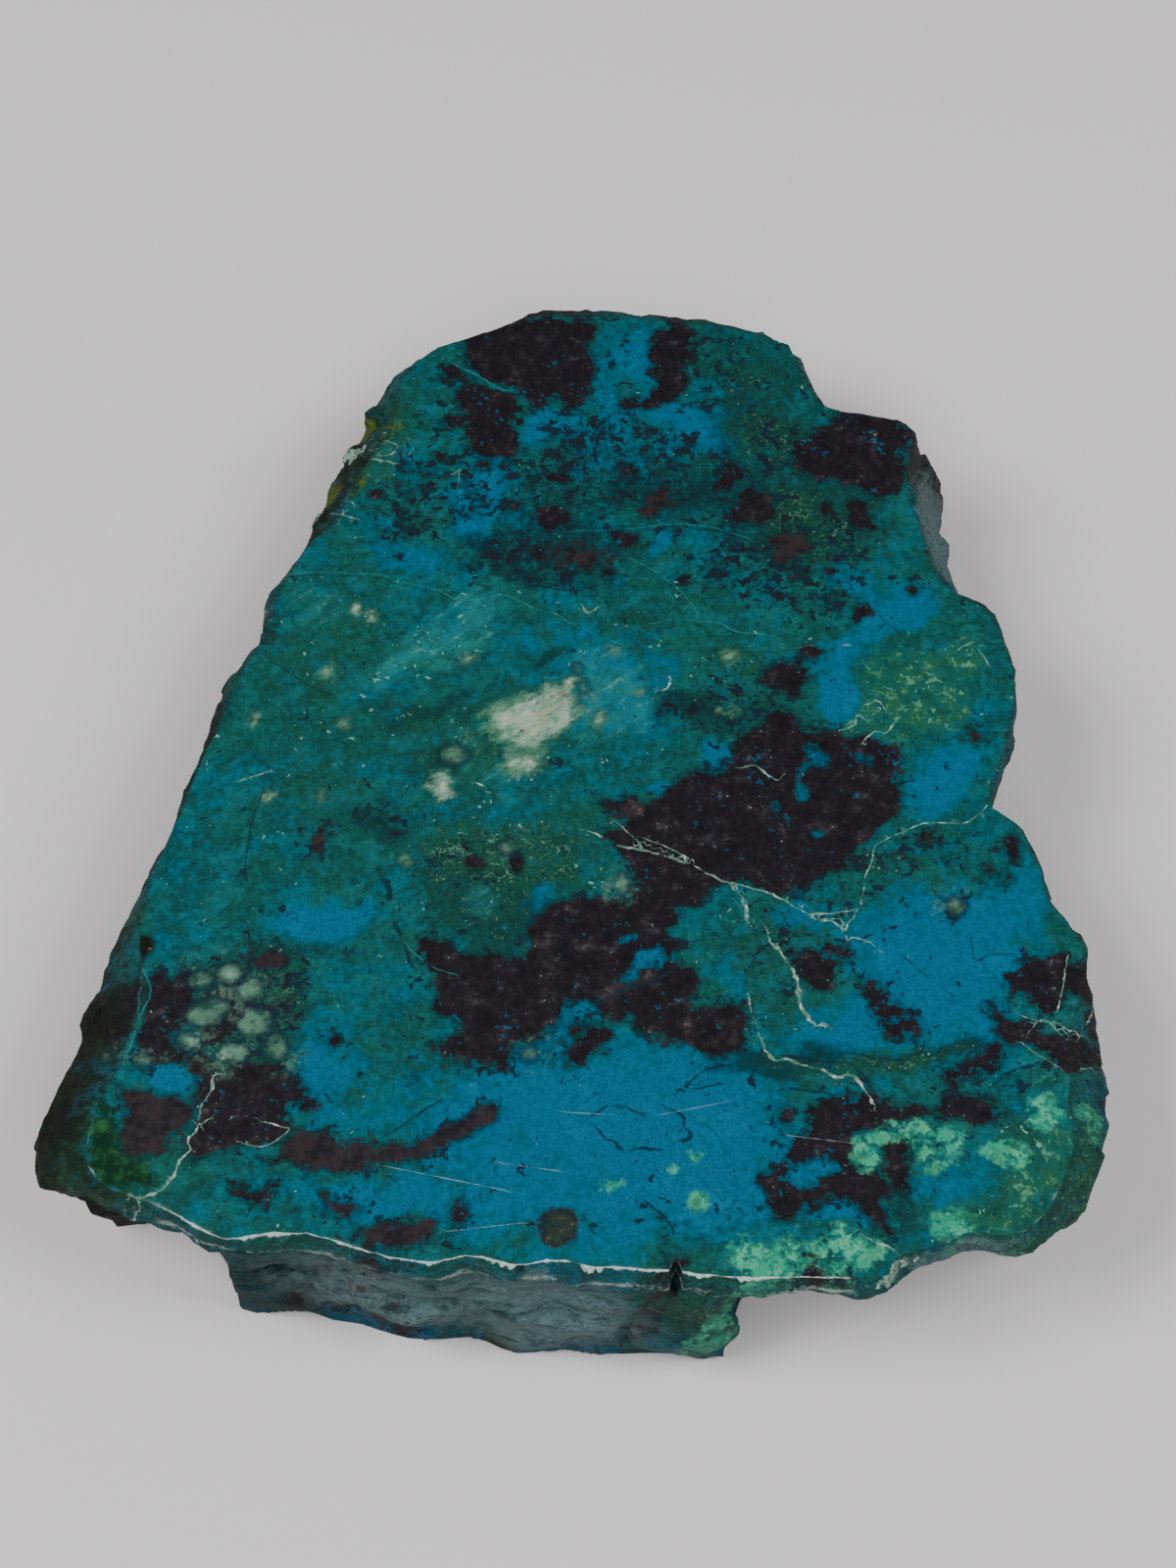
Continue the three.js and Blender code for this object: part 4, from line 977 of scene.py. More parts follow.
# The front right: clear blue with black ridges, mint and grass-green growths along the edge
FRONT_RIGHT_MARKS = (
    Patch(Mark.OXIDE, (
        (19, -12), (19.5, -11.5), (20.3, -11.3), (21.1, -10.9), (21.5, -11.3), (22.3, -11.6),
        (22.6, -12.6), (22, -13), (21.2, -12.9), (20.8, -13.6), (20.2, -14), (20, -13.4), (19.3, -13),
        (18.8, -12.8), (18.7, -12.2),
    )),
    Patch(Mark.OXIDE, (
        (17.8, -13.6), (18.3, -14), (18.8, -14.5), (19.4, -14.2), (20.2, -15), (21.4, -15),
        (21.8, -15.8), (22.1, -16.6), (21.7, -17), (21, -16.9), (20.3, -16.2), (19.3, -15.4),
        (18.6, -15.5), (18.1, -15.2), (17.9, -14.4),
    )),
    Patch(Mark.OXIDE, (
        (18.1, -15.4), (17.5, -15.7), (16.8, -16.2), (15.8, -16.8), (15.5, -17.2), (16.1, -17.4),
        (16.8, -16.9), (17.8, -16.4), (18.1, -15.9),
    )),
    Streak(Mark.CRACK, 0.3, ((19.9, -16.4), (19.2, -16.6), (18.4, -16.9), (17.7, -17.5))),
    Patch(Mark.OXIDE, (
        (9.6, -18.7), (10.6, -18.2), (11.8, -18.1), (12.2, -17.6), (12.6, -18.2), (13.8, -18.4),
        (15, -18.6), (15.8, -18.1), (17, -18.2), (17.5, -18.5), (17.3, -19.3), (16.2, -19.1),
        (15.3, -19), (14.2, -18.9), (13, -19.3), (12.4, -19.7), (11.6, -19.8), (11.4, -20.4),
        (11.2, -21.1), (11.6, -21.5), (12.4, -21.6), (13, -22), (12.8, -22.6), (12.4, -23),
        (12.6, -23.8), (12.9, -24.6), (12.3, -24.2), (11.6, -23.2), (10.8, -22.7), (10, -22.9),
        (9, -23.4), (8.3, -23.9), (7.8, -23.3), (7.7, -22.6), (7.3, -21.9), (8, -21.6), (8.6, -21.2),
        (8.9, -20.3), (9.6, -19.6),
    )),
    Window((
        (8.4, -21.9), (9, -21.2), (10, -20.9), (11, -21.4), (10.5, -21.9), (9.8, -22.3), (8.8, -22.4),
    )),
    Patch(Mark.OXIDE, (
        (12.8, -20.4), (13.4, -19.9), (13.8, -20.4), (13.7, -21.2), (13.8, -21.8), (13.1, -22.4),
        (12.6, -21.8), (12.8, -21),
    )),
    Patch(Mark.OXIDE, (
        (12.4, -12.2), (12.9, -12.7), (13.4, -13.3), (14, -13.8), (13.6, -14.2), (12.8, -14.2),
        (12.6, -13.4), (12.3, -12.5),
    )),
    Patch(Mark.OXIDE, (
        (13, -14.9), (13.8, -14.3), (14.4, -14.2), (14.7, -14.7), (14.6, -15.1), (14, -14.8),
    )),
    Patch(Mark.OXIDE, (
        (8.9, -10.9), (9.8, -10.9), (10.4, -10.5), (11.2, -10.5), (11.8, -10.9), (11.2, -11.4),
        (10.9, -12.2), (10.6, -12.7), (9.8, -12.4), (9.4, -12), (9, -11.3),
    )),
    Window(((10.5, -10.8), (11, -10.8), (11, -11.1), (10.6, -11.2))),
    Blot(Mark.OXIDE, 15.6, -4.8, 0.35, 0.22),
    Streak(Mark.CRACK, 0.21, ((16, -5.2), (17.1, -5.2), (17.3, -5.6))),
    Blot(Mark.OXIDE, 19.4, -5.4, 0.25, 0.6),
    Blot(Mark.OXIDE, 18.3, -6.8, 0.15, 0.15),
    Blot(Mark.OXIDE, 19, -7, 0.15, 0.12),
    Blot(Mark.PEBBLE, 16.6, -8.5, 0.4, 0.5),
    Blot(Mark.RUST, 16.6, -8.5, 0.22, 0.3),
    Streak(Mark.CRACK, 0.2, ((16.2, -9), (16.3, -9.7), (16.6, -9.9))),
    Streak(Mark.CRACK, 0.1, ((17.2, -10.3), (17.3, -11.3), (18, -11), (19.3, -11))),
    Streak(Mark.CRACK, 0.25, ((8.4, -16), (9.5, -16.2), (10.4, -16.4), (11.4, -16.4), (12, -17))),
    Streak(Mark.CRACK, 0.21, ((7.9, -17.8), (9, -17.7), (10.5, -17.9))),
    Streak(Mark.CRACK, 0.2, ((7, -18), (7.5, -18.5), (8, -18.7))),
    Blot(Mark.OXIDE, 8.6, -18.8, 0.16, 0.12),
    Blot(Mark.OXIDE, 8.4, -19.3, 0.12, 0.12),
    Streak(Mark.CRACK, 0.19, ((11.4, -15.9), (13, -16.2), (14.2, -16.2), (14.8, -15.5), (14.6, -15))),
    Streak(Mark.CRACK, 0.08, ((14, -11), (15.2, -12.2), (16.7, -13.5))),
    # The open loops drawn in fine dark lines
    Streak(Mark.CRACK, 0.27, ((0.1, -19), (0.9, -18.5), (1.7, -18.6), (2.3, -18.9))),
    Streak(Mark.CRACK, 0.27, (
        (3.3, -18.5), (4, -18.9), (4.2, -19.5), (4.5, -20), (3.9, -20.2), (3.1, -20.6), (2.3, -20.5),
        (1.6, -20.6), (0.9, -20.1), (0.5, -19.7),
    )),
    Streak(Mark.CRACK, 0.24, ((3.9, -17.8), (4.6, -17.2), (5.2, -16.7), (6, -16.5))),
    Streak(Mark.CRACK, 0.21, ((4.2, -17.8), (5.8, -17.4))),
    Streak(Mark.CRACK, 0.2, ((2.4, -23), (3.3, -23.8), (3.7, -24.6), (3.9, -25.2))),
    Blot(Mark.MOSS, -1.25, -24.2, 0.9, 0.95),
    Blot(Mark.OXIDE, 21.8, -20, 0.3, 0.4),
    Patch(Mark.RUST, ((3.3, -25.9), (3.7, -25.3), (4, -25.9))),
    # Growths of green and mint
    Patch(Mark.MALACHITE, (
        (20, -19.5), (21.2, -19.6), (21.3, -20.7), (20.8, -21.8), (19.5, -22.5), (18.8, -23.3),
        (18.4, -24.3), (18, -24.8), (16.9, -24.6), (16, -24.3), (16.6, -23.8), (17.6, -23.7),
        (17.8, -22.6), (17.8, -21.8), (18.8, -21.3), (19.4, -20.6),
    )),
    Patch(Mark.MINT, (
        (11.5, -20), (12.3, -19.7), (13, -19.5), (13.8, -19.5), (14.6, -19.3), (15.3, -19.7),
        (16, -19.4), (16.4, -19.8), (15.9, -20.6), (15.5, -21), (14.9, -21.7), (14.4, -21.2),
        (14.3, -20.5), (13.7, -20), (13, -20.1), (12.6, -20.4), (12.4, -21.2), (11.8, -21.5),
        (11.4, -21), (11.6, -20.4),
    )),
    Patch(Mark.MINT, (
        (6.1, -25), (6.9, -24.5), (7.6, -25.2), (8.6, -25), (10, -24.9), (10.4, -24.3), (11, -24.2),
        (11.6, -24.6), (12.4, -25), (12.2, -25.8), (11.4, -26.2), (10.2, -26.2), (9.4, -25.6),
        (8.6, -26.3), (7, -26.5), (6.2, -26),
    )),
    Patch(Mark.OXIDE, ((8.9, -26.3), (9.4, -25.2), (9.9, -26), (11, -26.5))),
    Patch(Mark.MINT, ((17, -20.4), (18, -20.2), (19, -20.6), (18.6, -21.3), (17.4, -21.2))),
    Patch(Mark.MINT, ((19.3, -18.1), (20.2, -18), (20.6, -18.8), (19.8, -19.6), (19.2, -19.2))),
    Patch(Mark.MINT, ((14.6, -23.7), (15.6, -23.4), (16.5, -23.8), (16, -24.5), (14.9, -24.7))),
    Blot(Mark.MINT, 4.7, -23, 0.42, 0.42),
    Blot(Mark.MINT, 1.1, -22.1, 0.45, 0.2, 10),
    Blot(Mark.MINT, 3.7, -21.5, 0.15, 0.2),
    Blot(Mark.MINT, 4.6, -20.9, 0.3, 0.15, -25),
    Cloud(Mark.MINTING, 14.2, -20.6, 3.4, 1.6, 0, 0.8),
    Cloud(Mark.MINTING, 9, -25.2, 4, 1.6, 0, 0.9),
    Cloud(Mark.MINTING, 17.6, -20.6, 2.6, 1.6, 0, 0.7),
    Cloud(Mark.MINTING, 19.8, -19, 1.6, 1.6, 0, 0.7),
    Cloud(Mark.MINTING, 3, -22.4, 2.6, 1.4, 0, 0.45),
    Cloud(Mark.MINTING, 15.6, -24, 2, 1.2, 0, 0.6),
    Cloud(Mark.OLIVE, 19.6, -21.2, 2.4, 2.6, 0, 0.9),
    Cloud(Mark.OLIVE, 17, -23.6, 2.2, 1.2, 0, 0.8),
    Streak(Mark.CREAM_VEIN, 0.13, ((11.3, -24.4), (12.2, -24.9), (12.8, -25.1), (13.2, -25.6))),
    # The web of pale lines at the right rim
    Streak(Mark.CREAM_VEIN, 0.13, ((21.4, -11.3), (21.1, -12.6), (20.8, -13.7))),
    Streak(Mark.CREAM_VEIN, 0.11, ((19, -14), (19.8, -14.3), (20.6, -14.4), (21.3, -14.9))),
    Streak(Mark.CREAM_VEIN, 0.1, ((19.4, -14.9), (20.1, -14.2), (20.8, -15))),
    Streak(Mark.CREAM_VEIN, 0.11, ((19.1, -15.5), (20, -16.2), (20.6, -16.6))),
    Streak(Mark.CREAM_VEIN, 0.1, ((21.3, -15), (21.8, -16.4), (22.4, -17.4), (22.7, -18))),
    Cloud(Mark.VEIL, 20.6, -15, 1.8, 2.4, -15, 0.5),
    Cloud(Mark.MURK, 13.4, -23.4, 1, 1.8, 0, 0.7),
    Cloud(Mark.MURK, 8, -16.3, 3.6, 0.7, 3, 1),
    Cloud(Mark.MURK, 14.6, -16.5, 4.4, 0.65, 8, 1),
    Cloud(Mark.OLIVE, 13.4, -16.8, 4.6, 0.8, 8, 0.8),
    Cloud(Mark.SPECKS, 12.6, -19.8, 5, 2.6, 0, 0.5),
    Cloud(Mark.SPECKS, 9.8, -22.4, 3, 1.8, 0, 0.6),
    Cloud(Mark.SPECKS, 16, -4.6, 2.8, 1.4, 0, 0.5),
    Cloud(Mark.SPECKS, 3, -24.2, 3, 1.4, 0, 0.35),
    Cloud(Mark.SPECKS, 19.6, -15.6, 3, 3, 0, 0.45),
)

# Where the stone clears to its brightest blue
BLUE_CLOUDS = (
    Cloud(Mark.BLUE, -5.5, 14.5, 1.2, 3, -10, 0.9),
    Cloud(Mark.BLUE, -2.2, 18.3, 0.9, 1.6, 0, 0.9),
    Cloud(Mark.BLUE, 4.2, 19.6, 3, 1, 0, 1),
    Cloud(Mark.BLUE, 5.5, 18.2, 1.3, 1.5, 0, 0.8),
    Cloud(Mark.BLUE, 2, 22.6, 1.3, 1.5, 0, 0.9),
    Cloud(Mark.BLUE, 3.3, 11.5, 0.6, 1, 0, 1),
    Cloud(Mark.BLUE, -9, 11, 2, 1.5, 0, 0.5),
    Cloud(Mark.BLUE, -12.3, -9, 2.4, 1.3, 0, 1),
    Cloud(Mark.BLUE, 11.4, 3.2, 1.1, 2.6, 0, 1),
    Cloud(Mark.BLUE, 15.2, 8.2, 2, 1.8, 0, 0.9),
    Cloud(Mark.BLUE, 12.6, 6.2, 1.6, 1, 0, 0.8),
    Cloud(Mark.BLUE, 5.7, -0.5, 0.9, 0.7, 0, 1),
    Cloud(Mark.BLUE, 3, -2.2, 0.9, 0.5, 0, 0.9),
    Cloud(Mark.BLUE, 16.5, -1.8, 2, 1.5, 0, 0.9),
    Cloud(Mark.BLUE, 8.8, -9.2, 1.3, 0.9, 0, 0.9),
    Cloud(Mark.BLUE, 16, -11.5, 4.8, 4.8, 0, 1),
    Cloud(Mark.BLUE, 1, -20, 9.5, 5.6, 0, 1),
    Cloud(Mark.BLUE, -11.5, -17, 1.6, 3, 0, 0.8),
    Cloud(Mark.BLUE, -8.5, -23, 3.8, 1.3, 0, 0.8),
    Cloud(Mark.BLUE, 11, -15, 2.6, 1.6, 0, 0.9),
    Cloud(Mark.BLUE, 10.5, -23.7, 1.9, 0.9, 0, 1),
    Cloud(Mark.BLUE, 15, -22, 1.6, 1.2, 0, 0.6),
    Cloud(Mark.BLUE, 20, -8.4, 1.4, 2.4, 0, 0.8),
    Cloud(Mark.BLUE, 12.6, 10.2, 2.4, 1.2, 0, 0.5),
    Cloud(Mark.BLUE, 6.2, -12.2, 1.4, 1.2, 0, 0.5),
    Cloud(Mark.BLUE, -2, 6.4, 2.4, 1.4, 0, 0.4),
    Cloud(Mark.BLUE, 1.6, 3.2, 3.4, 3, 0, 0.55),
    Cloud(Mark.VEIL, 1.4, 2.8, 3, 2.6, 0, 0.75),
)


@dataclass(frozen=True)
class Stain:
    """A soft region of the broken walls, from its middle and half-widths in all three directions."""

    kind: Mark
    middle: tuple[float, float, float]
    across: tuple[float, float, float]
    strength: float = 1.0

    def share(self, points: np.ndarray) -> np.ndarray:
        """Give the stain's strength at points of the stone."""
        off = np.linalg.norm((points - self.middle) / self.across, axis=1)
        fade = np.clip((1.35 - off) / 0.95, 0, 1)
        return self.strength * fade * fade * (3 - 2 * fade)


# Broken walls: pale grey-blue fracture with a painted sheen at the front, a brown and green rind deepened with painted
# shade on the left
WALL_STAINS = (
    # Grey-blue broken stone, partly a painted sheen of the reflected surround
    Stain(Mark.GREY_BREAK_AND_SHEEN, (-2.5, -27.0, 4.0), (6.0, 4.0, 4.5), 1.0),
    Stain(Mark.GREY_BREAK_AND_SHEEN, (-10.5, -26.0, 4.5), (5.5, 3.0, 3.5), 0.85),
    Stain(Mark.GREY_BREAK_AND_SHEEN, (15.5, -25.0, 6.0), (5.0, 3.0, 3.0), 0.7),
    Stain(Mark.GREY_BREAK_AND_SHEEN, (17.5, 14.0, 5.0), (2.5, 5.0, 6.0), 0.9),
    Stain(Mark.GREY_BREAK_AND_SHEEN, (11.0, 22.5, 5.0), (2.5, 3.0, 5.0), 0.7),
    Stain(Mark.GREY_BREAK_AND_SHEEN, (22.0, -4.0, 3.0), (4.0, 12.0, 5.0), 0.45),
    # Dark brown and green rind on the left walls, deepened by painted shade
    Stain(Mark.SKIN, (-23.0, -16.0, 4.0), (3.5, 7.0, 8.0), 1.0),
    Stain(Mark.SKIN, (-18.5, 0.0, 4.0), (6.0, 14.0, 7.0), 0.9),
    Stain(Mark.SKIN, (-13.0, 16.0, 4.0), (5.0, 8.0, 7.0), 0.8),
    Stain(Mark.LIME, (-21.8, -24.0, 6.6), (1.3, 0.8, 0.8), 1.0),
    Stain(Mark.LIME, (-11.6, 17.9, 7.2), (1.1, 0.7, 0.9), 0.8),
    Stain(Mark.LIME, (-11.4, 20.8, 7.2), (0.9, 0.5, 0.8), 0.8),
    Stain(Mark.LIME, (-13.6, 14.0, 7.0), (0.9, 0.6, 0.9), 0.8),
    Stain(Mark.SULPHUR, (-11.8, 19.4, 6.6), (1.4, 1.2, 1.9), 1.0),
    Stain(Mark.SULPHUR, (-12.9, 15.6, 6.8), (1.0, 1.5, 1.6), 1.0),
    Stain(Mark.LIME, (12.5, -26.0, 7.6), (2.6, 0.9, 0.5), 0.8),
    Stain(Mark.OLIVE, (4.0, -27.0, 5.6), (2.4, 2.5, 1.8), 0.9),
    Stain(Mark.MURK, (-14.0, -25.0, 3.0), (4.0, 3.0, 3.5), 0.9),
    Stain(Mark.SPECKS, (-11.0, -26.0, 3.5), (4.5, 3.0, 3.5), 0.9),
    Stain(Mark.SPECKS, (-20.0, -6.0, 4.0), (3.5, 20.0, 6.0), 0.7),
)


# How strongly the front edge of the face is worn and painted with a highlight, along x
EDGE_WEAR_AND_HIGHLIGHT = (
    (-19.0, 0.0), (-17.6, 0.6), (-15.5, 1.0), (-12.0, 0.7), (-8.0, 0.8), (-3.0, 0.6), (-0.9, 0.6), (-0.5, 0.1),
    (0.0, 0.6), (2.6, 0.8), (3.3, 0.7), (3.7, 0.2), (4.2, 0.8), (8.6, 0.7), (10.6, 0.7), (11.6, 0.0),
)
EDGE_WEAR_AND_HIGHLIGHT_FRONT = -22.5
FAR_OUT = -1.6
FAR_ACROSS = 9.0


class Part(Enum):
    """Which surface of the stone a triangle belongs to. The value is its material's place."""

    FACE = 0
    BROKEN = 1


@dataclass(frozen=True)
class BrokenWalls:
    """The broken walls: the solid's own walls, cut finer and roughened."""

    longest_edge: float = 0.42
    cuts: int = 5
    sharp: float = math.radians(34)
    softening: int = 2
    swells: tuple[tuple[float, float], ...] = ((2.6, 0.1), (0.9, 0.06), (0.4, 0.04))
    facets: tuple[tuple[float, float], ...] = ((2.4, 0.34), (1.1, 0.16))
    nibble: float = 0.05
    worn_corners: tuple[tuple[float, ...], ...] = ((23.6, -16.8, 5.9, 1.7, 0.34),)

    def take(self, solid: bpy.types.Object) -> bmesh.types.BMesh:
        """Copy the solid's walls, without its flat face and base.

        Args:
            solid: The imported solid.

        Returns:
            The walls in millimetres.
        """
        walls = bmesh.new()
        walls.from_mesh(solid.data)
        bmesh.ops.scale(walls, vec=(1 / MM,) * 3, verts=walls.verts)
        bmesh.ops.remove_doubles(walls, verts=walls.verts, dist=0.002)
        bmesh.ops.delete(walls, geom=[f for f in walls.faces if self.is_flat(f)], context="FACES")
        for _ in range(self.cuts):
            long = [edge for edge in walls.edges if edge.calc_length() > self.longest_edge]
            if not long:
                break
            bmesh.ops.subdivide_edges(walls, edges=long, cuts=1)
            bmesh.ops.triangulate(walls, faces=[f for f in walls.faces if len(f.verts) > 3])
        return walls

    @staticmethod
    def is_flat(face: bmesh.types.BMFace) -> bool:
        """Tell whether a triangle lies in the flat face or the base."""
        heights = [vert.co.z for vert in face.verts]
        return min(heights) > THICKNESS - 0.0005 or max(heights) < 0.0005

    def roughen(self, walls: bmesh.types.BMesh) -> None:
        """Soften the solid's facets, keep its ridges, and lay a broken grain over them."""
        rim = {vert for edge in walls.edges if edge.is_boundary for vert in edge.verts}
        ridges = {v for e in walls.edges if e.is_manifold and e.calc_face_angle() > self.sharp for v in e.verts}
        loose = [vert for vert in walls.verts if vert not in rim and vert not in ridges]
        for _ in range(self.softening):
            bmesh.ops.smooth_vert(walls, verts=loose, factor=0.5, use_axis_x=True, use_axis_y=True, use_axis_z=True)
        for x, y, z, reach, back in self.worn_corners:
            for vert in loose + list(ridges - rim):
                near = max(0.0, 1 - (vert.co - Vector((x, y, z))).length / reach)
                vert.co -= Vector((x, y, 0)).normalized() * back * near * (2 - near)
        walls.normal_update()
        for vert in walls.verts:
            if vert not in rim:
                vert.co += vert.normal * self.relief(vert.co)
            elif vert.co.z > 1:
                shift = self.nibble * noise.noise(vert.co * 2.3)
                vert.co += Vector((vert.normal.x, vert.normal.y, 0)) * shift

    def relief(self, place: Vector) -> float:
        """Give how far the broken grain stands out at a place."""
        height = 0.0
        for size, depth in self.swells:
            height += depth * (0.5 - 1.6 * abs(noise.noise(place / size + Vector((size * 7, 3, 5)))))
        for size, depth in self.facets:
            spot = place / size
            _, middles = noise.voronoi(spot)
            height += depth * (spot - middles[0]).dot(noise.noise_vector(middles[0] * 2.7))
        return height


@dataclass(frozen=True)
class FlatFill:
    """A flat surface within a rim: an even grid of points, joined to the rim's own."""

    pitch: float
    height: float
    clearance: float = 0.55

    def inner_points(self, rim: np.ndarray) -> np.ndarray:
        """Lay the grid's points that are inside the rim and clear of it.

        Args:
            rim: The closed rim, its first point repeated.

        Returns:
            The points on the plan.
        """
        low, high = rim.min(0), rim.max(0)
        rows = np.arange(low[1], high[1], self.pitch * math.sqrt(3) / 2)
        columns = np.arange(low[0], high[0], self.pitch)
        grid = np.stack(np.meshgrid(columns, rows), -1)
        grid[1::2, :, 0] += self.pitch / 2
        spots = grid.reshape(-1, 2)
        spots = spots[inside(rim, spots)]
        away, _, _ = nearest_on(rim, spots)
        return spots[away > self.clearance * self.pitch]

    def triangles(self, rim: np.ndarray, inner: np.ndarray) -> list[list[int]]:
        """Join the rim's points and the grid's into triangles.

        Args:
            rim: The rim's points in order, counter-clockwise, none repeated.
            inner: The grid's points.

        Returns:
            Three numbers a triangle, the rim's points counted first.
        """
        spots = [Vector(spot) for spot in np.concatenate([rim, inner])]
        edges = [(i, (i + 1) % len(rim)) for i in range(len(rim))]
        _, _, faces, origins, _, _ = delaunay_2d_cdt(spots, edges, [], 0, 1e-6, True)
        made = np.array([[origins[corner][0] for corner in face] for face in faces])
        middles = np.concatenate([rim, inner])[made].mean(1)
        return made[inside(np.concatenate([rim, rim[:1]]), middles)].tolist()


@dataclass
class Slab:
    """The whole stone: polished face, broken walls and sawn base, as one closed mesh."""

    solid: bpy.types.Object
    walls: BrokenWalls = BrokenWalls()
    face: FlatFill = FlatFill(pitch=0.185, height=THICKNESS)
    base: FlatFill = FlatFill(pitch=0.8, height=0.0)
    drift: Point = (0.35, 0.3)
    points: np.ndarray = field(init=False)
    rim: np.ndarray = field(init=False)

    def build(self) -> bpy.types.Object:
        """Make the stone's mesh.

        Returns:
            The stone, in metres.
        """
        shell = self.walls.take(self.solid)
        self.walls.roughen(shell)
        shell.verts.index_update()
        points = [tuple(vert.co) for vert in shell.verts]
        triangles = self.single([[vert.index for vert in face.verts] for face in shell.faces])
        parts = [Part.BROKEN.value] * len(triangles)
        for fill, part in ((self.face, Part.FACE), (self.base, Part.BROKEN)):
            loop = self.rim_loop(shell, fill.height)
            outline = np.array([points[number][:2] for number in loop])
            inner = fill.inner_points(np.concatenate([outline, outline[:1]]))
            numbers = loop + list(range(len(points), len(points) + len(inner)))
            points += [(x, y, fill.height) for x, y in inner]
            flat = [[numbers[corner] for corner in corners] for corners in fill.triangles(outline, inner)]
            triangles += flat if part is Part.FACE else [corners[::-1] for corners in flat]
            parts += [part.value] * len(flat)
            if part is Part.FACE:
                self.rim = np.concatenate([outline, outline[:1]]) + DRAWN_MIDDLE
        shell.free()
        self.points = np.array(points) + (*DRAWN_MIDDLE, 0)
        return self.as_object(np.array(points) * MM, triangles, parts)

    @staticmethod
    def single(triangles: list[list[int]]) -> list[list[int]]:
        """Leave out the triangles that lie back to back over one another."""
        times = Counter(frozenset(corners) for corners in triangles)
        return [corners for corners in triangles if times[frozenset(corners)] == 1]

    @staticmethod
    def rim_loop(shell: bmesh.types.BMesh, height: float) -> list[int]:
        """Walk the open rim at a height, counter-clockwise.

        Args:
            shell: The open walls.
            height: The rim's height.

        Returns:
            The numbers of its vertices in order.
        """
        edges = [e for e in shell.edges if e.is_boundary and abs(e.verts[0].co.z - height) < 0.01]
        beside: dict[int, list[int]] = {}
        for edge in edges:
            a, b = (vert.index for vert in edge.verts)
            beside.setdefault(a, []).append(b)
            beside.setdefault(b, []).append(a)
        loop = [edges[0].verts[0].index]
        previous = None
        while True:
            following = next(number for number in beside[loop[-1]] if number != previous)
            if following == loop[0]:
                break
            previous = loop[-1]
            loop.append(following)
        shell.verts.ensure_lookup_table()
        spots = [shell.verts[number].co for number in loop]
        area = sum(a.x * b.y - b.x * a.y for a, b in zip(spots, spots[1:] + spots[:1]))
        return loop if area > 0 else loop[::-1]

    @staticmethod
    def as_object(points: np.ndarray, triangles: list[list[int]], parts: list[int]) -> bpy.types.Object:
        """Make the mesh object, smooth but for its sharp edges."""
        mesh = bpy.data.meshes.new("turquoise_stone")
        mesh.from_pydata(points.tolist(), [], triangles)
        mesh.polygons.foreach_set("material_index", parts)
        mesh.shade_smooth()
        mesh.set_sharp_from_angle(angle=math.radians(38))
        mesh.update()
        made = bpy.data.objects.new("turquoise_stone", mesh)
        bpy.context.scene.collection.objects.link(made)
        return made

    def plan_of(self) -> np.ndarray:
        """Give the place on the face whose marks each point of the stone shows.

        The marks run down through the stone at a slant. Under the broken walls, where the plan
        leaves the face, they are folded back in over the nearest stretch of its edge.

        Returns:
            Places on the plan, one to a point.
        """
        fall = (THICKNESS - self.points[:, 2])[:, None]
        plan = self.points[:, :2] + fall * self.drift
        outside = ~inside(self.rim, plan)
        low = self.points[:, 2] < THICKNESS - 0.001
        folded = np.flatnonzero(outside & low)
        _, spots, _ = nearest_on(self.rim, plan[folded])
        plan[folded] = 2 * spots - plan[folded]
        return plan

    def mark(self, made: bpy.types.Object) -> None:
        """Work out every mark at every point and keep it with the mesh."""
        plan = self.plan_of()
        fields = Fields(plan, wavered(plan))
        for kind in Mark:
            fields.array(kind.value, FAR_OUT if kind in SHAPES else FAR_ACROSS if kind in LINES else 0.0)
        groups = (BACK_MARKS, MIDDLE_MARKS, FRONT_LEFT_MARKS, FRONT_RIGHT_MARKS, BLUE_CLOUDS)
        for mark in (mark for group in groups for mark in group):
            mark.lay(fields)
        on_walls = self.points[:, 2] < THICKNESS - 0.001
        for stain in WALL_STAINS:
            fields.cloud(stain.kind, stain.share(self.points) * on_walls)
        away, spots, _ = nearest_on(self.rim, self.points[:, :2])
        fields.values[Mark.RIM.value] = away
        fields.values[Mark.RIM_WEAR_AND_HIGHLIGHT.value] = np.interp(spots[:, 0], *zip(*EDGE_WEAR_AND_HIGHLIGHT)) * (spots[:, 1] < EDGE_WEAR_AND_HIGHLIGHT_FRONT)
        for name, values in fields.values.items():
            layer = made.data.attributes.new(name, "FLOAT", "POINT")
            layer.data.foreach_set("value", values.astype(np.float32))
        log.info("%s: %d triangles, %d marks kept", made.name, len(made.data.polygons), len(fields.values))


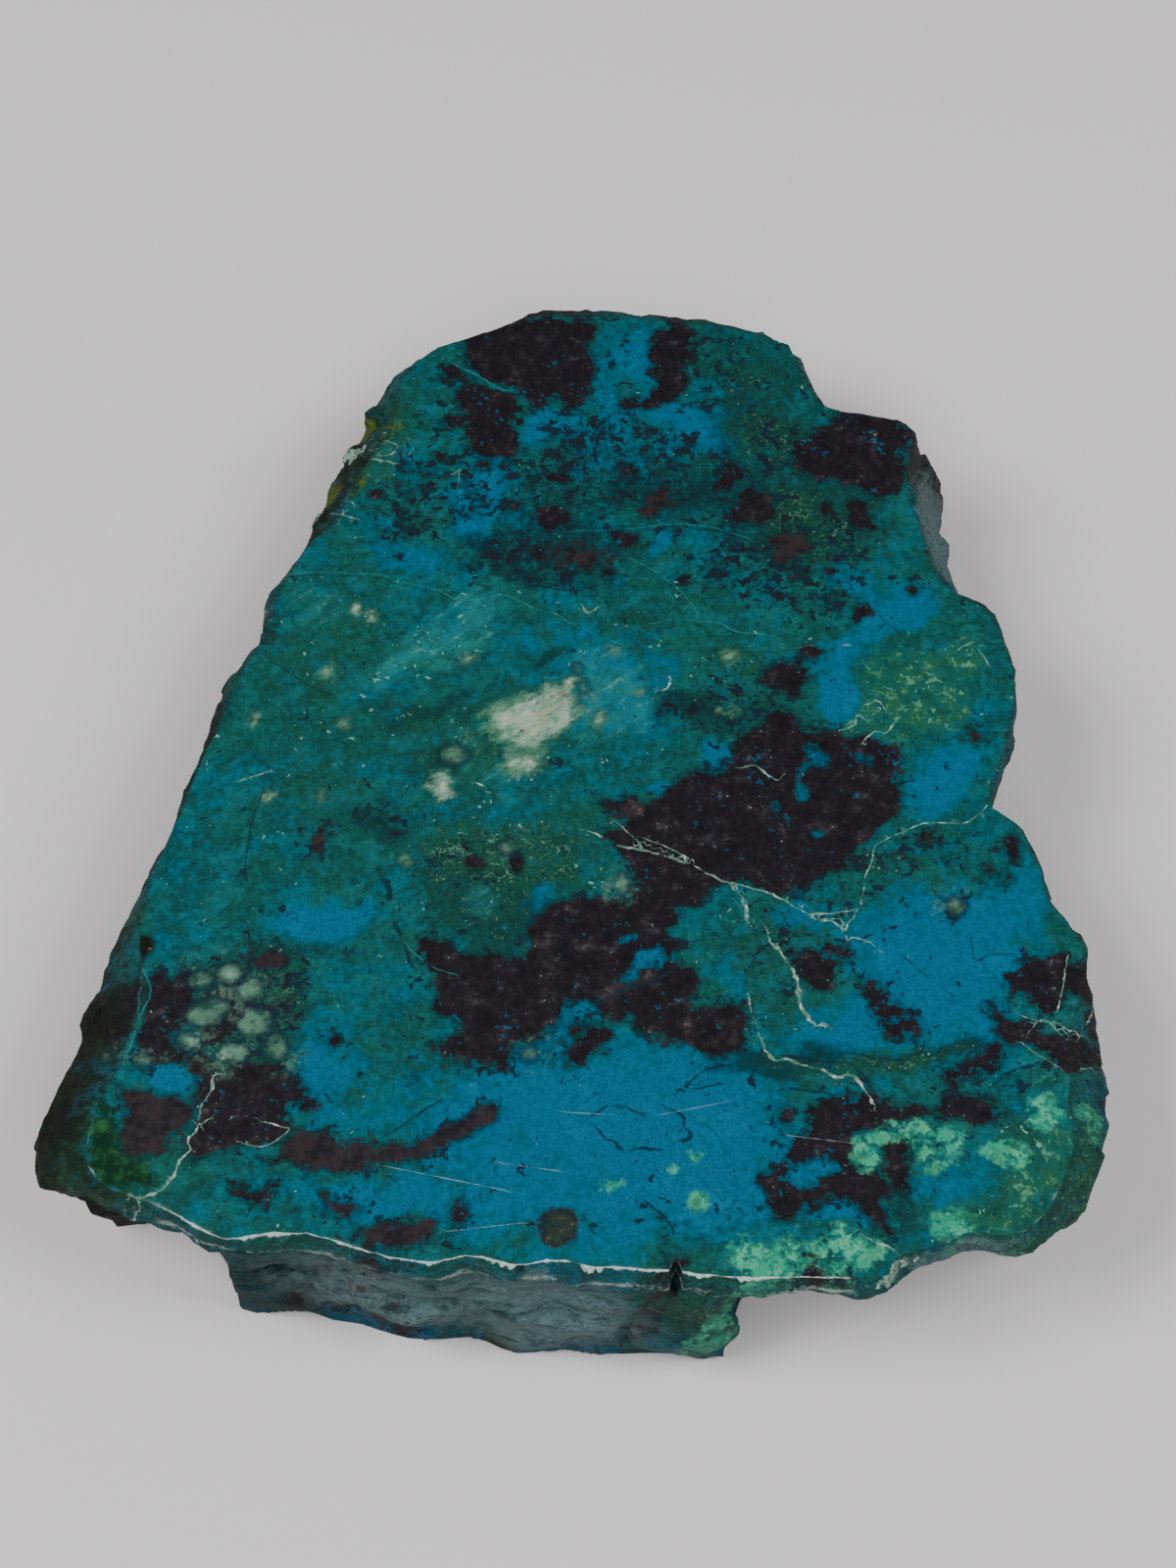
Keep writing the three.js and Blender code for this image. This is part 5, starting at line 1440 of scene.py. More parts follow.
@dataclass(frozen=True)
class StoneColours:
    """The stone's colours, as the eye names them."""

    blue: tuple[float, ...] = linear(0, 80, 106)
    bright_blue: tuple[float, ...] = linear(0, 94, 120)
    teal: tuple[float, ...] = linear(0, 80, 88)
    green_teal: tuple[float, ...] = linear(6, 76, 70)
    dark_teal: tuple[float, ...] = linear(6, 38, 40)
    pale_teal: tuple[float, ...] = linear(26, 112, 110)
    olive: tuple[float, ...] = linear(18, 58, 38)
    leaf: tuple[float, ...] = linear(28, 78, 42)
    light_leaf: tuple[float, ...] = linear(80, 136, 104)
    oxide: tuple[float, ...] = linear(22, 19, 24)
    oxide_blue: tuple[float, ...] = linear(12, 32, 44)
    rust: tuple[float, ...] = linear(42, 34, 36)
    mint: tuple[float, ...] = linear(42, 134, 104)
    pale_mint: tuple[float, ...] = linear(88, 160, 128)
    cream: tuple[float, ...] = linear(116, 148, 130)
    bone: tuple[float, ...] = linear(152, 150, 124)
    ochre: tuple[float, ...] = linear(140, 92, 58)
    pebble: tuple[float, ...] = linear(76, 112, 92)
    crust: tuple[float, ...] = linear(72, 86, 16)
    moss: tuple[float, ...] = linear(34, 38, 24)
    rind: tuple[float, ...] = linear(12, 11, 6)
    rind_green: tuple[float, ...] = linear(4, 34, 14)
    # The walls' grey-blue: broken stone with a painted sheen
    grey_break_and_sheen: tuple[float, ...] = linear(84, 108, 110)
    chalk: tuple[float, ...] = linear(190, 204, 198)
    deep_green: tuple[float, ...] = linear(6, 50, 40)
    fleck: tuple[float, ...] = linear(104, 150, 130)
    dust: tuple[float, ...] = linear(66, 60, 64)


@dataclass(frozen=True)
class Turquoise:
    """The stone's finish: one recipe of colours, polished on the face and broken on the walls."""

    colours: StoneColours = StoneColours()
    fray: tuple[tuple[float, float], ...] = ((1.6, 0.16), (0.6, 0.32), (0.22, 0.2))

    def frayed(self, bench: Bench, place: Sock) -> Sock:
        """Give the waver that every patch's edge shares, in millimetres, calm in some stretches."""
        waver: Sock | float = 0.0
        for size, reach in self.fray:
            waver = waver + bench.grain(place, size, 3.0, 0.6) * reach
        return waver * (0.85 + bench.grain(place, 3.6, 1.0) * 0.5).most(0.25)

    def line(self, bench: Bench, kind: Mark, place: Sock, wander: float = 0.5) -> Sock:
        """Give the mask of a kind of streak, wandering, uneven in width and broken in places.

        Args:
            bench: The tree.
            kind: The kind of streak.
            place: The place in millimetres.
            wander: How far the line wanders, in half-widths.

        Returns:
            The mask.
        """
        across = abs(bench.mark(kind) + bench.grain(place, 0.45, 3.0) * wander)
        width = (0.62 + bench.grain(place, 0.6, 3.0, 0.65) * 0.6).most(0.1)
        near = bench.mark(kind, "_gap").ramp(0.4, 0.26)
        whole = (bench.grain(place, 1.1, 4.0, 0.7) + 0.6).ramp(0.0, 0.6)
        return (across / width).ramp(1.1, 0.45) * near * whole

    def ground(self, bench: Bench, place: Sock) -> Sock:
        """Mottle the stone's body from green-teal to clear blue.

        Args:
            bench: The tree.
            place: The place in millimetres.

        Returns:
            The colour.
        """
        c = self.colours
        wide = bench.grain(place, 4.0, 4.0, 0.6)
        drift = bench.grain(bench.warp(place, 2.4, 1.3), 1.5, 5.0, 0.68)
        fine = bench.grain(bench.warp(place, 0.8, 0.3), 0.42, 4.0, 0.65)
        clear = (bench.mark(Mark.BLUE) + wide * 0.25 + drift * 0.4 + fine * 0.2 - 0.45).ramp(-0.5, 0.5)
        colour = bench.mix(c.green_teal, c.teal, (wide * 0.8 + drift * 0.8 + 0.5).ramp(-0.3, 1.2))
        colour = bench.mix(colour, c.blue, clear)
        bright = (clear * 0.6 + drift * 0.5 + wide * 0.3 - 0.55).ramp(0.0, 0.8)
        colour = bench.mix(colour, c.bright_blue, bright * 0.7)
        hazy = abs(bench.grain(bench.warp(place, 2.0, 1.4), 2.2, 4.0, 0.6)).ramp(0.5, 0.0)
        wispy = abs(bench.grain(bench.warp(place, 0.9, 0.6), 0.8, 3.0, 0.6)).ramp(0.45, 0.0)
        haze = (hazy * 0.75 + wispy * 0.5 + drift * 0.25) * (1 - clear * 0.8)
        colour = bench.mix(colour, c.deep_green, haze.ramp(0.0, 1.2) * 0.65)
        seams = bench.curls(place, 2.0, 0.07).most(bench.curls(place, 0.9, 0.1) * 0.6)
        seams = seams * (drift * 0.8 + wide * 0.5 + 0.1).ramp(0.0, 0.8)
        colour = bench.mix(colour, c.dark_teal, seams * 0.6)
        return bench.shade(colour, 1 + bench.grain(place, 0.14, 2.0) * 0.18 + fine * (0.32 - clear * 0.22))

    def clouded(self, bench: Bench, place: Sock, colour: Sock) -> Sock:
        """Lay the murky, olive and pale clouds over the body.

        Args:
            bench: The tree.
            place: The place in millimetres.
            colour: The body's colour.

        Returns:
            The colour.
        """
        c = self.colours
        rough = bench.grain(bench.warp(place, 1.2, 0.8), 1.0, 5.0, 0.7)
        fine = bench.grain(bench.warp(place, 0.4, 0.3), 0.3, 3.0, 0.65)
        streaky = bench.grain(bench.stretched(place, (3.2, 1.0, 1.0), 38), 0.45, 4.0, 0.68)
        murk = (bench.mark(Mark.MURK) + rough * 0.5 + fine * 0.25 - 0.4).ramp(-0.35, 0.7)
        colour = bench.mix(colour, c.dark_teal, murk * bench.mark(Mark.MURK).ramp(0.02, 0.35) * 0.85)
        olive = (bench.mark(Mark.OLIVE) + rough * 0.6 + fine * 0.3 - 0.5).ramp(-0.3, 0.75)
        olive = olive * bench.mark(Mark.OLIVE).ramp(0.02, 0.4)
        greener = bench.mix(c.olive, c.deep_green, (rough * 0.7 + 0.5).ramp(0.0, 1.0))
        colour = bench.mix(colour, greener, olive * 0.85)
        threads = bench.curls(place, 0.42, 0.22) * (bench.mark(Mark.OLIVE) + rough * 0.4 - 0.2).ramp(0.0, 0.8)
        colour = bench.mix(colour, c.leaf, threads * 0.5)
        tangled = bench.mark(Mark.OLIVE) + bench.mark(Mark.MURK) * 0.3 + fine * 0.4 + rough * 0.6
        squiggles = bench.curls(place, 0.55, 0.13) * (tangled - 0.95).ramp(0.0, 0.5)
        colour = bench.mix(colour, c.fleck, squiggles * 0.5)
        veil = (bench.mark(Mark.VEIL) + streaky * 0.35 + rough * 0.3 - 0.45).ramp(-0.35, 0.9)
        colour = bench.mix(colour, c.pale_teal, veil * bench.mark(Mark.VEIL).ramp(0.02, 0.4) * 0.62)
        wisps = (streaky * 0.9 + fine * 0.4 - 0.35).ramp(0.0, 0.9) * bench.mark(Mark.VEIL).ramp(0.1, 0.7)
        return bench.mix(colour, c.fleck, wisps * 0.6)

    def speckled(self, bench: Bench, place: Sock, colour: Sock) -> Sock:
        """Scatter dark dots and curls, and the small pale flecks, over the stone."""
        c = self.colours
        fringe = bench.mark(Mark.OXIDE).most(bench.mark(Mark.RUST)).ramp(-1.3, 0.1)
        dense = bench.mark(Mark.SPECKS).most(fringe * 0.75)
        drift = bench.grain(bench.warp(place, 1.5, 0.7), 1.4, 3.0, 0.6)
        spots = bench.grain(bench.warp(place, 0.7, 0.7), 0.6, 1.0, 0.45)
        dots = bench.grain(bench.warp(place, 0.4, 0.35), 0.34, 1.0, 0.45)
        shade = (spots * 0.5 + dots * 0.2 + drift * 0.6 + dense * 1.3 - 0.85).ramp(-0.1, 0.9)
        colour = bench.mix(colour, c.dark_teal, shade * 0.7)
        dark = (spots + drift * 0.4 + dots * 0.3 + dense * 0.95 - 1.17).ramp(0.0, 0.13)
        dark = dark.most((dots + drift * 0.35 + dense * 0.8 - 1.15).ramp(0.0, 0.15))
        curls = bench.curls(place, 0.8, 0.14) * (dense + drift * 0.35 + dots * 0.25).ramp(0.5, 0.75)
        spot = bench.mix(c.oxide, c.oxide_blue, (drift * 0.4 + dots * 0.6 + 0.3).ramp(0.0, 1.0))
        spot = bench.mix(spot, c.rust, (bench.mark(Mark.RUSTING) + drift * 0.3 - 0.2).ramp(0.0, 0.6) * 0.7)
        colour = bench.mix(colour, spot, dark.most(curls * 0.8) * 0.92)
        lively = bench.mark(Mark.OLIVE).most(bench.mark(Mark.VEIL))
        ticks = bench.grain(bench.warp(place, 0.4, 0.3), 0.29, 1.0)
        wanted = drift * 0.45 + lively * 0.3 - (bench.mark(Mark.BLUE) + dense) * 0.25
        flecks = (ticks + wanted - 1.22).ramp(0.0, 0.2)
        return bench.mix(colour, c.fleck, flecks * 0.75)

    def grown(self, bench: Bench, place: Sock, waver: Sock, colour: Sock) -> Sock:
        """Lay the patches: malachite, oxide, rust, moss, mint and crust, then the pale ones.

        Args:
            bench: The tree.
            place: The place in millimetres.
            waver: The shared waver of their edges.
            colour: The colour below.

        Returns:
            The colour.
        """
        c = self.colours
        fine = bench.grain(place, 0.3, 3.0, 0.6)
        middling = bench.grain(place, 0.9, 4.0, 0.62)
        green = (bench.mark(Mark.MALACHITE) + waver).ramp(-0.2, 0.3)
        leaf = bench.mix(c.green_teal, c.leaf, (fine * 0.5 + middling * 0.5 + 0.35).ramp(0.0, 1.0))
        leaf = bench.mix(leaf, c.olive, (middling * -0.8 + fine * 0.5).ramp(0.0, 0.8) * 0.8)
        leaf = bench.mix(leaf, c.deep_green, (fine * -0.8 - middling * 0.3).ramp(0.2, 0.8) * 0.8)
        fibres = (bench.grain(bench.warp(place, 0.4, 0.35), 0.34, 1.0, 0.5) + middling * 0.35 - 0.62).ramp(0.0, 0.3)
        fibres = fibres.most(bench.curls(place, 0.8, 0.14) * (middling + 0.2).ramp(0.0, 0.8) * 0.8)
        leaf = bench.mix(leaf, c.light_leaf, fibres * 0.75)
        colour = bench.mix(colour, leaf, green * 0.85)
        deep = bench.mix(c.rind_green, c.leaf, (fine * 0.5 + middling * 0.7 + 0.2).ramp(0.0, 1.2))
        colour = bench.mix(colour, deep, (bench.mark(Mark.GRASS) + waver * 1.6 - 0.1).ramp(-0.3, 0.4) * 0.95)
        black = self.blackened(bench, place, fine, middling)
        dark_edge = bench.mark(Mark.OXIDE).most(bench.mark(Mark.RUST)) + waver
        colour = bench.mix(colour, c.dark_teal, dark_edge.ramp(-0.4, -0.02) * 0.6)
        colour = bench.mix(colour, black, (bench.mark(Mark.OXIDE) + waver).ramp(-0.05, 0.05))
        brown = bench.mix(c.rust, c.oxide, (fine * 0.4 + middling * 0.7 + 0.45).ramp(0.0, 1.0))
        colour = bench.mix(colour, brown, (bench.mark(Mark.RUST) + waver).ramp(-0.08, 0.08) * 0.95)
        moss = bench.mix(c.moss, c.ochre, (fine * 0.8 + middling * 0.6 - 0.1).ramp(0.0, 1.4) * 0.45)
        moss = bench.mix(moss, c.leaf, (middling * 0.8 - fine * 0.5).ramp(0.0, 1.0) * 0.5)
        ring = abs(bench.mark(Mark.MOSS) + waver * 0.5 - 0.14).ramp(0.26, 0.02)
        moss = bench.mix(moss, c.oxide, ring.most((fine * -0.6 - middling * 0.4).ramp(0.1, 0.8)) * 0.8)
        colour = bench.mix(colour, moss, (bench.mark(Mark.MOSS) + waver * 0.5).ramp(-0.12, 0.12) * 0.9)
        colour = self.minted(bench, place, waver, colour)
        crust = bench.mix(c.crust, c.olive, (fine * 0.4 + middling * 0.4 + 0.3).ramp(0.0, 1.0))
        colour = bench.mix(colour, crust, (bench.mark(Mark.CRUST) + waver).ramp(-0.15, 0.15) * 0.9)
        return self.paled(bench, place, waver, colour)

    def blackened(self, bench: Bench, place: Sock, fine: Sock, middling: Sock) -> Sock:
        """Give the oxide's own colour: black, with blue glints, reddish stretches and dust."""
        c = self.colours
        glints = (bench.grain(place, 0.26, 2.0) + bench.grain(place, 1.5) * 0.8 - 0.95).ramp(0.0, 0.3)
        black = bench.mix(c.oxide, c.blue, glints * 0.6)
        reddish = (bench.mark(Mark.RUSTING) + middling * 0.5 - 0.3).ramp(0.0, 0.9)
        black = bench.mix(black, c.rust, reddish * 0.85)
        film = (middling * 0.5 + fine * 0.4 - 0.1).ramp(0.0, 1.0)
        black = bench.mix(black, c.dust, film * 0.5)
        dust = (bench.grain(bench.warp(place, 0.3, 0.2), 0.2, 1.0) + middling * 0.35 - 1.15).ramp(0.0, 0.3)
        black = bench.mix(black, c.fleck, dust * 0.6)
        return bench.shade(black, 1 + fine * 0.35 + middling * 0.3)

    def minted(self, bench: Bench, place: Sock, waver: Sock, colour: Sock) -> Sock:
        """Lay the mint growths: bright curled rims over a darker sea-green."""
        c = self.colours
        lumps = bench.grain(bench.warp(place, 0.5, 0.3), 0.55, 3.0, 0.65)
        spread = (bench.mark(Mark.MINTING) + lumps * 0.4 - 0.95).ramp(0.0, 0.4)
        lace = (lumps * 0.9 + bench.grain(place, 1.3, 3.0) * 0.6 + 0.95).ramp(0.0, 0.9)
        share = (bench.mark(Mark.MINT) + waver * 0.9).ramp(-0.25, 0.12) * lace
        share = share.most(spread * 0.7)
        mint = bench.mix(c.green_teal, c.mint, (lumps * 0.8 + 0.65).ramp(0.0, 1.0))
        rims = abs(lumps - 0.35).ramp(0.35, 0.0) * (bench.grain(place, 0.9, 2.0) + 0.5).ramp(0.0, 0.8)
        mint = bench.mix(mint, c.pale_mint, rims * 0.75)
        mint = bench.mix(mint, c.leaf, (bench.grain(place, 1.2, 2.0) - 0.1).ramp(0.0, 0.9) * 0.6)
        return bench.mix(colour, mint, share * 0.92)

    def paled(self, bench: Bench, place: Sock, waver: Sock, colour: Sock) -> Sock:
        """Lay the pale pebbles and the cream knot, cloudy inside and darker at their rims.

        Args:
            bench: The tree.
            place: The place in millimetres.
            waver: The shared waver of their edges.
            colour: The colour below.

        Returns:
            The colour.
        """
        c = self.colours
        fine = bench.grain(bench.warp(place, 0.3, 0.2), 0.28, 3.0, 0.65)
        fibres = bench.grain(bench.warp(bench.stretched(place, (3.0, 1.0, 1.0), 32), 1.0, 0.3), 0.34, 4.0, 0.65)
        depth = bench.mark(Mark.PEBBLE) + waver * 0.5
        toned = bench.grain(place, 1.8, 2.0)
        stone = bench.mix(c.pebble, c.cream, (depth * 1.0 + fine * 0.6 + toned * 0.5 - 0.15).ramp(0.0, 1.0) * 0.8)
        stone = bench.mix(stone, c.olive, (fine * 0.7 - fibres * 0.5 - toned * 0.5 + 0.35).ramp(0.0, 1.0) * 0.85)
        grit = bench.mark(Mark.PEBBLE).ramp(-1.3, -0.2) * (fine * 0.7 + toned * 0.6 - 0.05).ramp(0.0, 0.9)
        colour = bench.mix(colour, c.pebble, grit * 0.6)
        colour = bench.mix(colour, c.oxide_blue, depth.ramp(-0.4, -0.05) * 0.6)
        colour = bench.mix(colour, stone, depth.ramp(-0.12, 0.3) * (0.75 + toned * 0.25))
        deep = bench.mark(Mark.CREAM) + waver * 0.8
        cream = bench.mix(c.cream, c.chalk, (fibres * 0.9 + deep * 0.5 - 0.4).ramp(0.0, 0.9) * 0.7)
        cream = bench.mix(cream, c.pebble, (fine * 0.7 - fibres * 0.8 + 0.3).ramp(0.0, 1.0) * 0.9)
        cream = bench.mix(cream, c.leaf, (bench.grain(place, 0.5, 4.0, 0.7) - deep * 0.4 + 0.1).ramp(0.0, 0.8) * 0.7)
        cream = bench.mix(cream, c.bone, (deep * 0.8 + fibres * 0.7 + fine * 0.4).ramp(0.2, 1.3) * 0.7)
        cream = bench.mix(c.pebble, cream, (deep + fibres * 0.25).ramp(-0.2, 0.5))
        stained = (bench.mark(Mark.STAINING) + fibres * 0.6 + fine * 0.6 - 0.5).ramp(0.0, 1.1)
        cream = bench.mix(cream, c.ochre, stained * 0.75)
        pits = (bench.grain(bench.warp(place, 0.4, 0.3), 0.3, 1.0) - 0.9).ramp(0.0, 0.25)
        cream = bench.mix(cream, c.moss, pits * 0.85)
        fringe = (deep + fibres * 0.25 + fine * 0.2).ramp(-0.6, -0.15) * bench.mark(Mark.OLIVE).ramp(0.5, 0.9)
        colour = bench.mix(colour, c.light_leaf, fringe * 0.45)
        colour = bench.mix(colour, c.olive, deep.ramp(-0.35, -0.05) * 0.5)
        return bench.mix(colour, cream, (deep + fibres * 0.2 + fine * 0.1).ramp(-0.35, 0.35) * 0.9)

    def veined(self, bench: Bench, place: Sock, colour: Sock) -> Sock:
        """Draw the veins, cracks and scratches."""
        c = self.colours
        chips = (bench.grain(place, 0.24, 2.0, 0.6) - 0.75).ramp(0.0, 0.3)
        beside = bench.mark(Mark.CREAM_VEIN, "_gap").ramp(0.42, 0.1) * chips
        colour = bench.mix(colour, c.oxide_blue, self.line(bench, Mark.CRACK, place) * 0.9)
        colour = bench.mix(colour, c.pale_teal, self.line(bench, Mark.PALE_VEIN, place) * 0.55)
        pale = bench.mix(c.pebble, c.chalk, (bench.grain(place, 0.5, 4.0, 0.65) * 0.8 + 0.2).ramp(0.0, 1.0))
        colour = bench.mix(colour, pale, self.line(bench, Mark.CREAM_VEIN, place, 0.7).most(beside * 0.7) * 0.8)
        return bench.mix(colour, c.chalk, self.line(bench, Mark.SCRATCH, place, 0.1) * 0.25)

    def stone(self, bench: Bench, place: Sock) -> Sock:
        """Build the whole recipe of colours, as a cut through the stone shows it."""
        waver = self.frayed(bench, place)
        colour = self.ground(bench, place)
        colour = self.clouded(bench, place, colour)
        colour = self.speckled(bench, place, colour)
        colour = self.grown(bench, place, waver, colour)
        return self.veined(bench, place, colour)

    def polished(self) -> bpy.types.Material:
        """Make the face's material: a dull polish, with wear and a painted highlight along the front edge.

        Returns:
            The material.
        """
        made = bpy.data.materials.new("polished_face")
        bench = Bench(made)
        place = bench.millimetres()
        colour = self.rinded(bench, place, self.stone(bench, place))
        colour, wear_and_highlight = self.worn_and_highlighted_edge(bench, place, colour)
        lows = bench.grain(place, 0.9, 4.0, 0.6)
        rough = 0.3 + lows * 0.04 + wear_and_highlight * 0.35 + bench.mark(Mark.OXIDE).ramp(-0.1, 0.2) * 0.05
        height = bench.grain(place, 0.35, 3.0) * 0.35 + lows * 0.5
        self.finish(bench, colour, rough, height, 0.006, 0.28)
        return made

    def rinded(self, bench: Bench, place: Sock, colour: Sock) -> Sock:
        """Lay the brown and green rind, where the face runs out over it."""
        c = self.colours
        fine = bench.grain(place, 0.4, 4.0, 0.65)
        rind = bench.mix(c.rind, c.rind_green, (bench.grain(place, 1.3, 3.0) * 0.7 + 0.35).ramp(0.0, 0.9))
        rind = bench.mix(rind, c.olive, (fine - 0.3).ramp(0.0, 0.6) * 0.6)
        rind = bench.mix(rind, c.ochre, (bench.grain(place, 0.6, 2.0) - 0.95).ramp(0.0, 0.3) * 0.6)
        rind = bench.mix(rind, c.rind_green, bench.mark(Mark.MALACHITE).ramp(-0.3, 0.2) * 0.7)
        share = bench.mark(Mark.RIND).ramp(-0.1, 0.25)
        keeps = bench.mark(Mark.MALACHITE).most(bench.mark(Mark.CREAM)).ramp(-0.1, 0.1)
        return bench.mix(colour, rind, share * (1 - keeps * 0.8))

    def worn_and_highlighted_edge(self, bench: Bench, place: Sock, colour: Sock) -> tuple[Sock, Sock]:
        """Chalk the face's chipped front edge, with a painted highlight where the edge catches the light, and give the
        mask of both.
        """
        waver = bench.grain(place, 0.4, 3.0) * 0.028 + bench.grain(place, 2.0) * 0.02
        # A pale line along the front edge: chipped wear, and a painted highlight where the edge catches the light
        edge = (bench.mark(Mark.RIM_WEAR_AND_HIGHLIGHT) * 0.026 + waver - bench.mark(Mark.RIM)).ramp(0.0, 0.03)
        wear_and_highlight = edge * bench.mark(Mark.RIM_WEAR_AND_HIGHLIGHT).ramp(0.15, 0.5)
        return bench.mix(colour, self.colours.chalk, wear_and_highlight * 0.9), wear_and_highlight

    def broken(self) -> bpy.types.Material:
        """Make the walls' material: dull fracture darkened by painted shade, weathered rind deepened by painted shade
        on the left, and grey broken stone with a painted sheen.

        Returns:
            The material.
        """
        c = self.colours
        made = bpy.data.materials.new("broken_walls")
        bench = Bench(made)
        place = bench.millimetres()
        rough = bench.grain(place, 0.8, 5.0, 0.62)
        fine = bench.grain(place, 0.25, 3.0, 0.6)
        layered = bench.grain(bench.warp(bench.stretched(place, (2.6, 2.6, 0.5)), 1.0, 0.3), 0.9, 4.0, 0.6)
        # The stone's colours, darkened on the walls as painted shade
        colour = bench.shade(self.stone(bench, place), 0.82 + rough * 0.12)
        # Grey-blue broken stone, partly a painted sheen of the reflected surround, streaked with pale painted
        # highlights
        dust = (bench.mark(Mark.GREY_BREAK_AND_SHEEN) * 1.3 + rough * 0.35 + layered * 0.35 - 0.42).ramp(0.0, 0.8)
        grey = bench.mix(c.grey_break_and_sheen, c.dark_teal, (layered * 0.9 + rough * 0.5 + 0.1).ramp(0.0, 1.1) * 0.9)
        grey = bench.mix(grey, c.chalk, (layered * -0.7 + fine * 0.4 - rough * 0.3 - 0.3).ramp(0.0, 1.2) * 0.5)
        colour = bench.mix(colour, grey, (dust * 0.85).most((rough - 0.4).ramp(0.0, 0.8) * 0.3))
        rind = bench.mix(c.rind, c.rind_green, (rough * 0.6 + 0.3).ramp(0.0, 1.0))
        rind = bench.mix(rind, c.olive, (fine * 0.5 + rough * 0.3 - 0.2).ramp(0.0, 0.6) * 0.6)
        patchy = bench.grain(place, 3.4, 4.0, 0.65)
        # The dark rind on the left walls: partly the stone's own skin, partly painted shade
        skin = (bench.mark(Mark.SKIN) * 1.2 + rough * 0.35 + patchy * 0.7 - 0.45).ramp(0.0, 0.6)
        colour = bench.mix(colour, rind, skin * 0.9)
        spotted = (bench.grain(place, 1.1, 4.0, 0.7) + bench.mark(Mark.SPECKS) * 0.9 - 1.05).ramp(0.0, 0.35)
        colour = bench.mix(colour, c.rust, spotted * 0.8)
        limed = (bench.mark(Mark.LIME) + rough * 0.4 + fine * 0.3 - 0.55).ramp(0.0, 0.25)
        colour = bench.mix(colour, bench.mix(c.cream, c.chalk, fine.ramp(0.0, 0.8)), limed * 0.8)
        yellowed = (bench.mark(Mark.SULPHUR) + rough * 0.4 + fine * 0.2 - 0.5).ramp(0.0, 0.4)
        colour = bench.mix(colour, bench.mix(c.crust, c.olive, fine.ramp(0.0, 1.2)), yellowed * 0.9)
        below = self.below_face(bench, place)
        # Pale lines on the front wall: just under the face's edge, chipped wear with a painted highlight; along the
        # chamfer's foot, about 0.75 mm down, a painted highlight
        chipped_and_highlit = (bench.mark(Mark.RIM_WEAR_AND_HIGHLIGHT) * 0.1 + rough * 0.05 - below).ramp(0.0, 0.05)
        highlit_foot = abs(below + rough * 0.12 + layered * 0.1 - 0.75).ramp(0.22, 0.04) * (layered + fine * 0.5 + 0.3).ramp(0.0, 0.8)
        worn_and_highlit_lines = chipped_and_highlit.most(highlit_foot * 0.45) * bench.mark(Mark.RIM_WEAR_AND_HIGHLIGHT).ramp(0.15, 0.5)
        colour = bench.mix(colour, c.chalk, worn_and_highlit_lines * 0.8)
        colour = bench.shade(colour, 1 + fine * 0.1)
        height = rough * 0.6 + fine * 0.35 + layered * 0.3
        self.finish(bench, colour, 0.68 + rough * 0.07 + skin * 0.2, height, 0.22, 0.2)
        return made

    @staticmethod
    def below_face(bench: Bench, place: Sock) -> Sock:
        """Give how far a point lies below the face, in millimetres."""
        parts = bench.node("ShaderNodeSeparateXYZ", {}, {"Vector": place})
        return THICKNESS - bench.out(parts, "Z")

    @staticmethod
    def finish(bench: Bench, colour: Sock, rough: Sock, height: Sock, relief: float, gloss: float) -> None:
        """Join a colour, a roughness and a relief to the stone's surface.

        Args:
            bench: The tree.
            colour: Base colour.
            rough: Roughness.
            height: Height of the relief, about -1 to 1.
            relief: What a height of 1 stands for, in millimetres.
            gloss: Strength of the mirror-like reflection.
        """
        bump = bench.node("ShaderNodeBump", {}, {"Strength": 1.0, "Distance": relief * MM, "Height": height})
        sockets = {"Base Color": colour, "Roughness": rough, "Normal": bench.out(bump), "Specular IOR Level": gloss}
        surface = bench.node("ShaderNodeBsdfPrincipled", {}, sockets)
        bench.node("ShaderNodeOutputMaterial", {}, {"Surface": bench.out(surface)})


@dataclass(frozen=True)
class Lamp:
    """A soft square lamp that faces the stone."""

    name: str
    place: tuple[float, float, float]
    across: float
    power: float

    def hang(self, aim: Vector) -> None:
        """Hang the lamp and turn it to the stone."""
        light = bpy.data.lights.new(self.name, "AREA")
        light.size = self.across
        light.energy = self.power
        made = bpy.data.objects.new(self.name, light)
        made.location = self.place
        made.rotation_euler = (aim - made.location).to_track_quat("-Z", "Y").to_euler()
        bpy.context.scene.collection.objects.link(made)


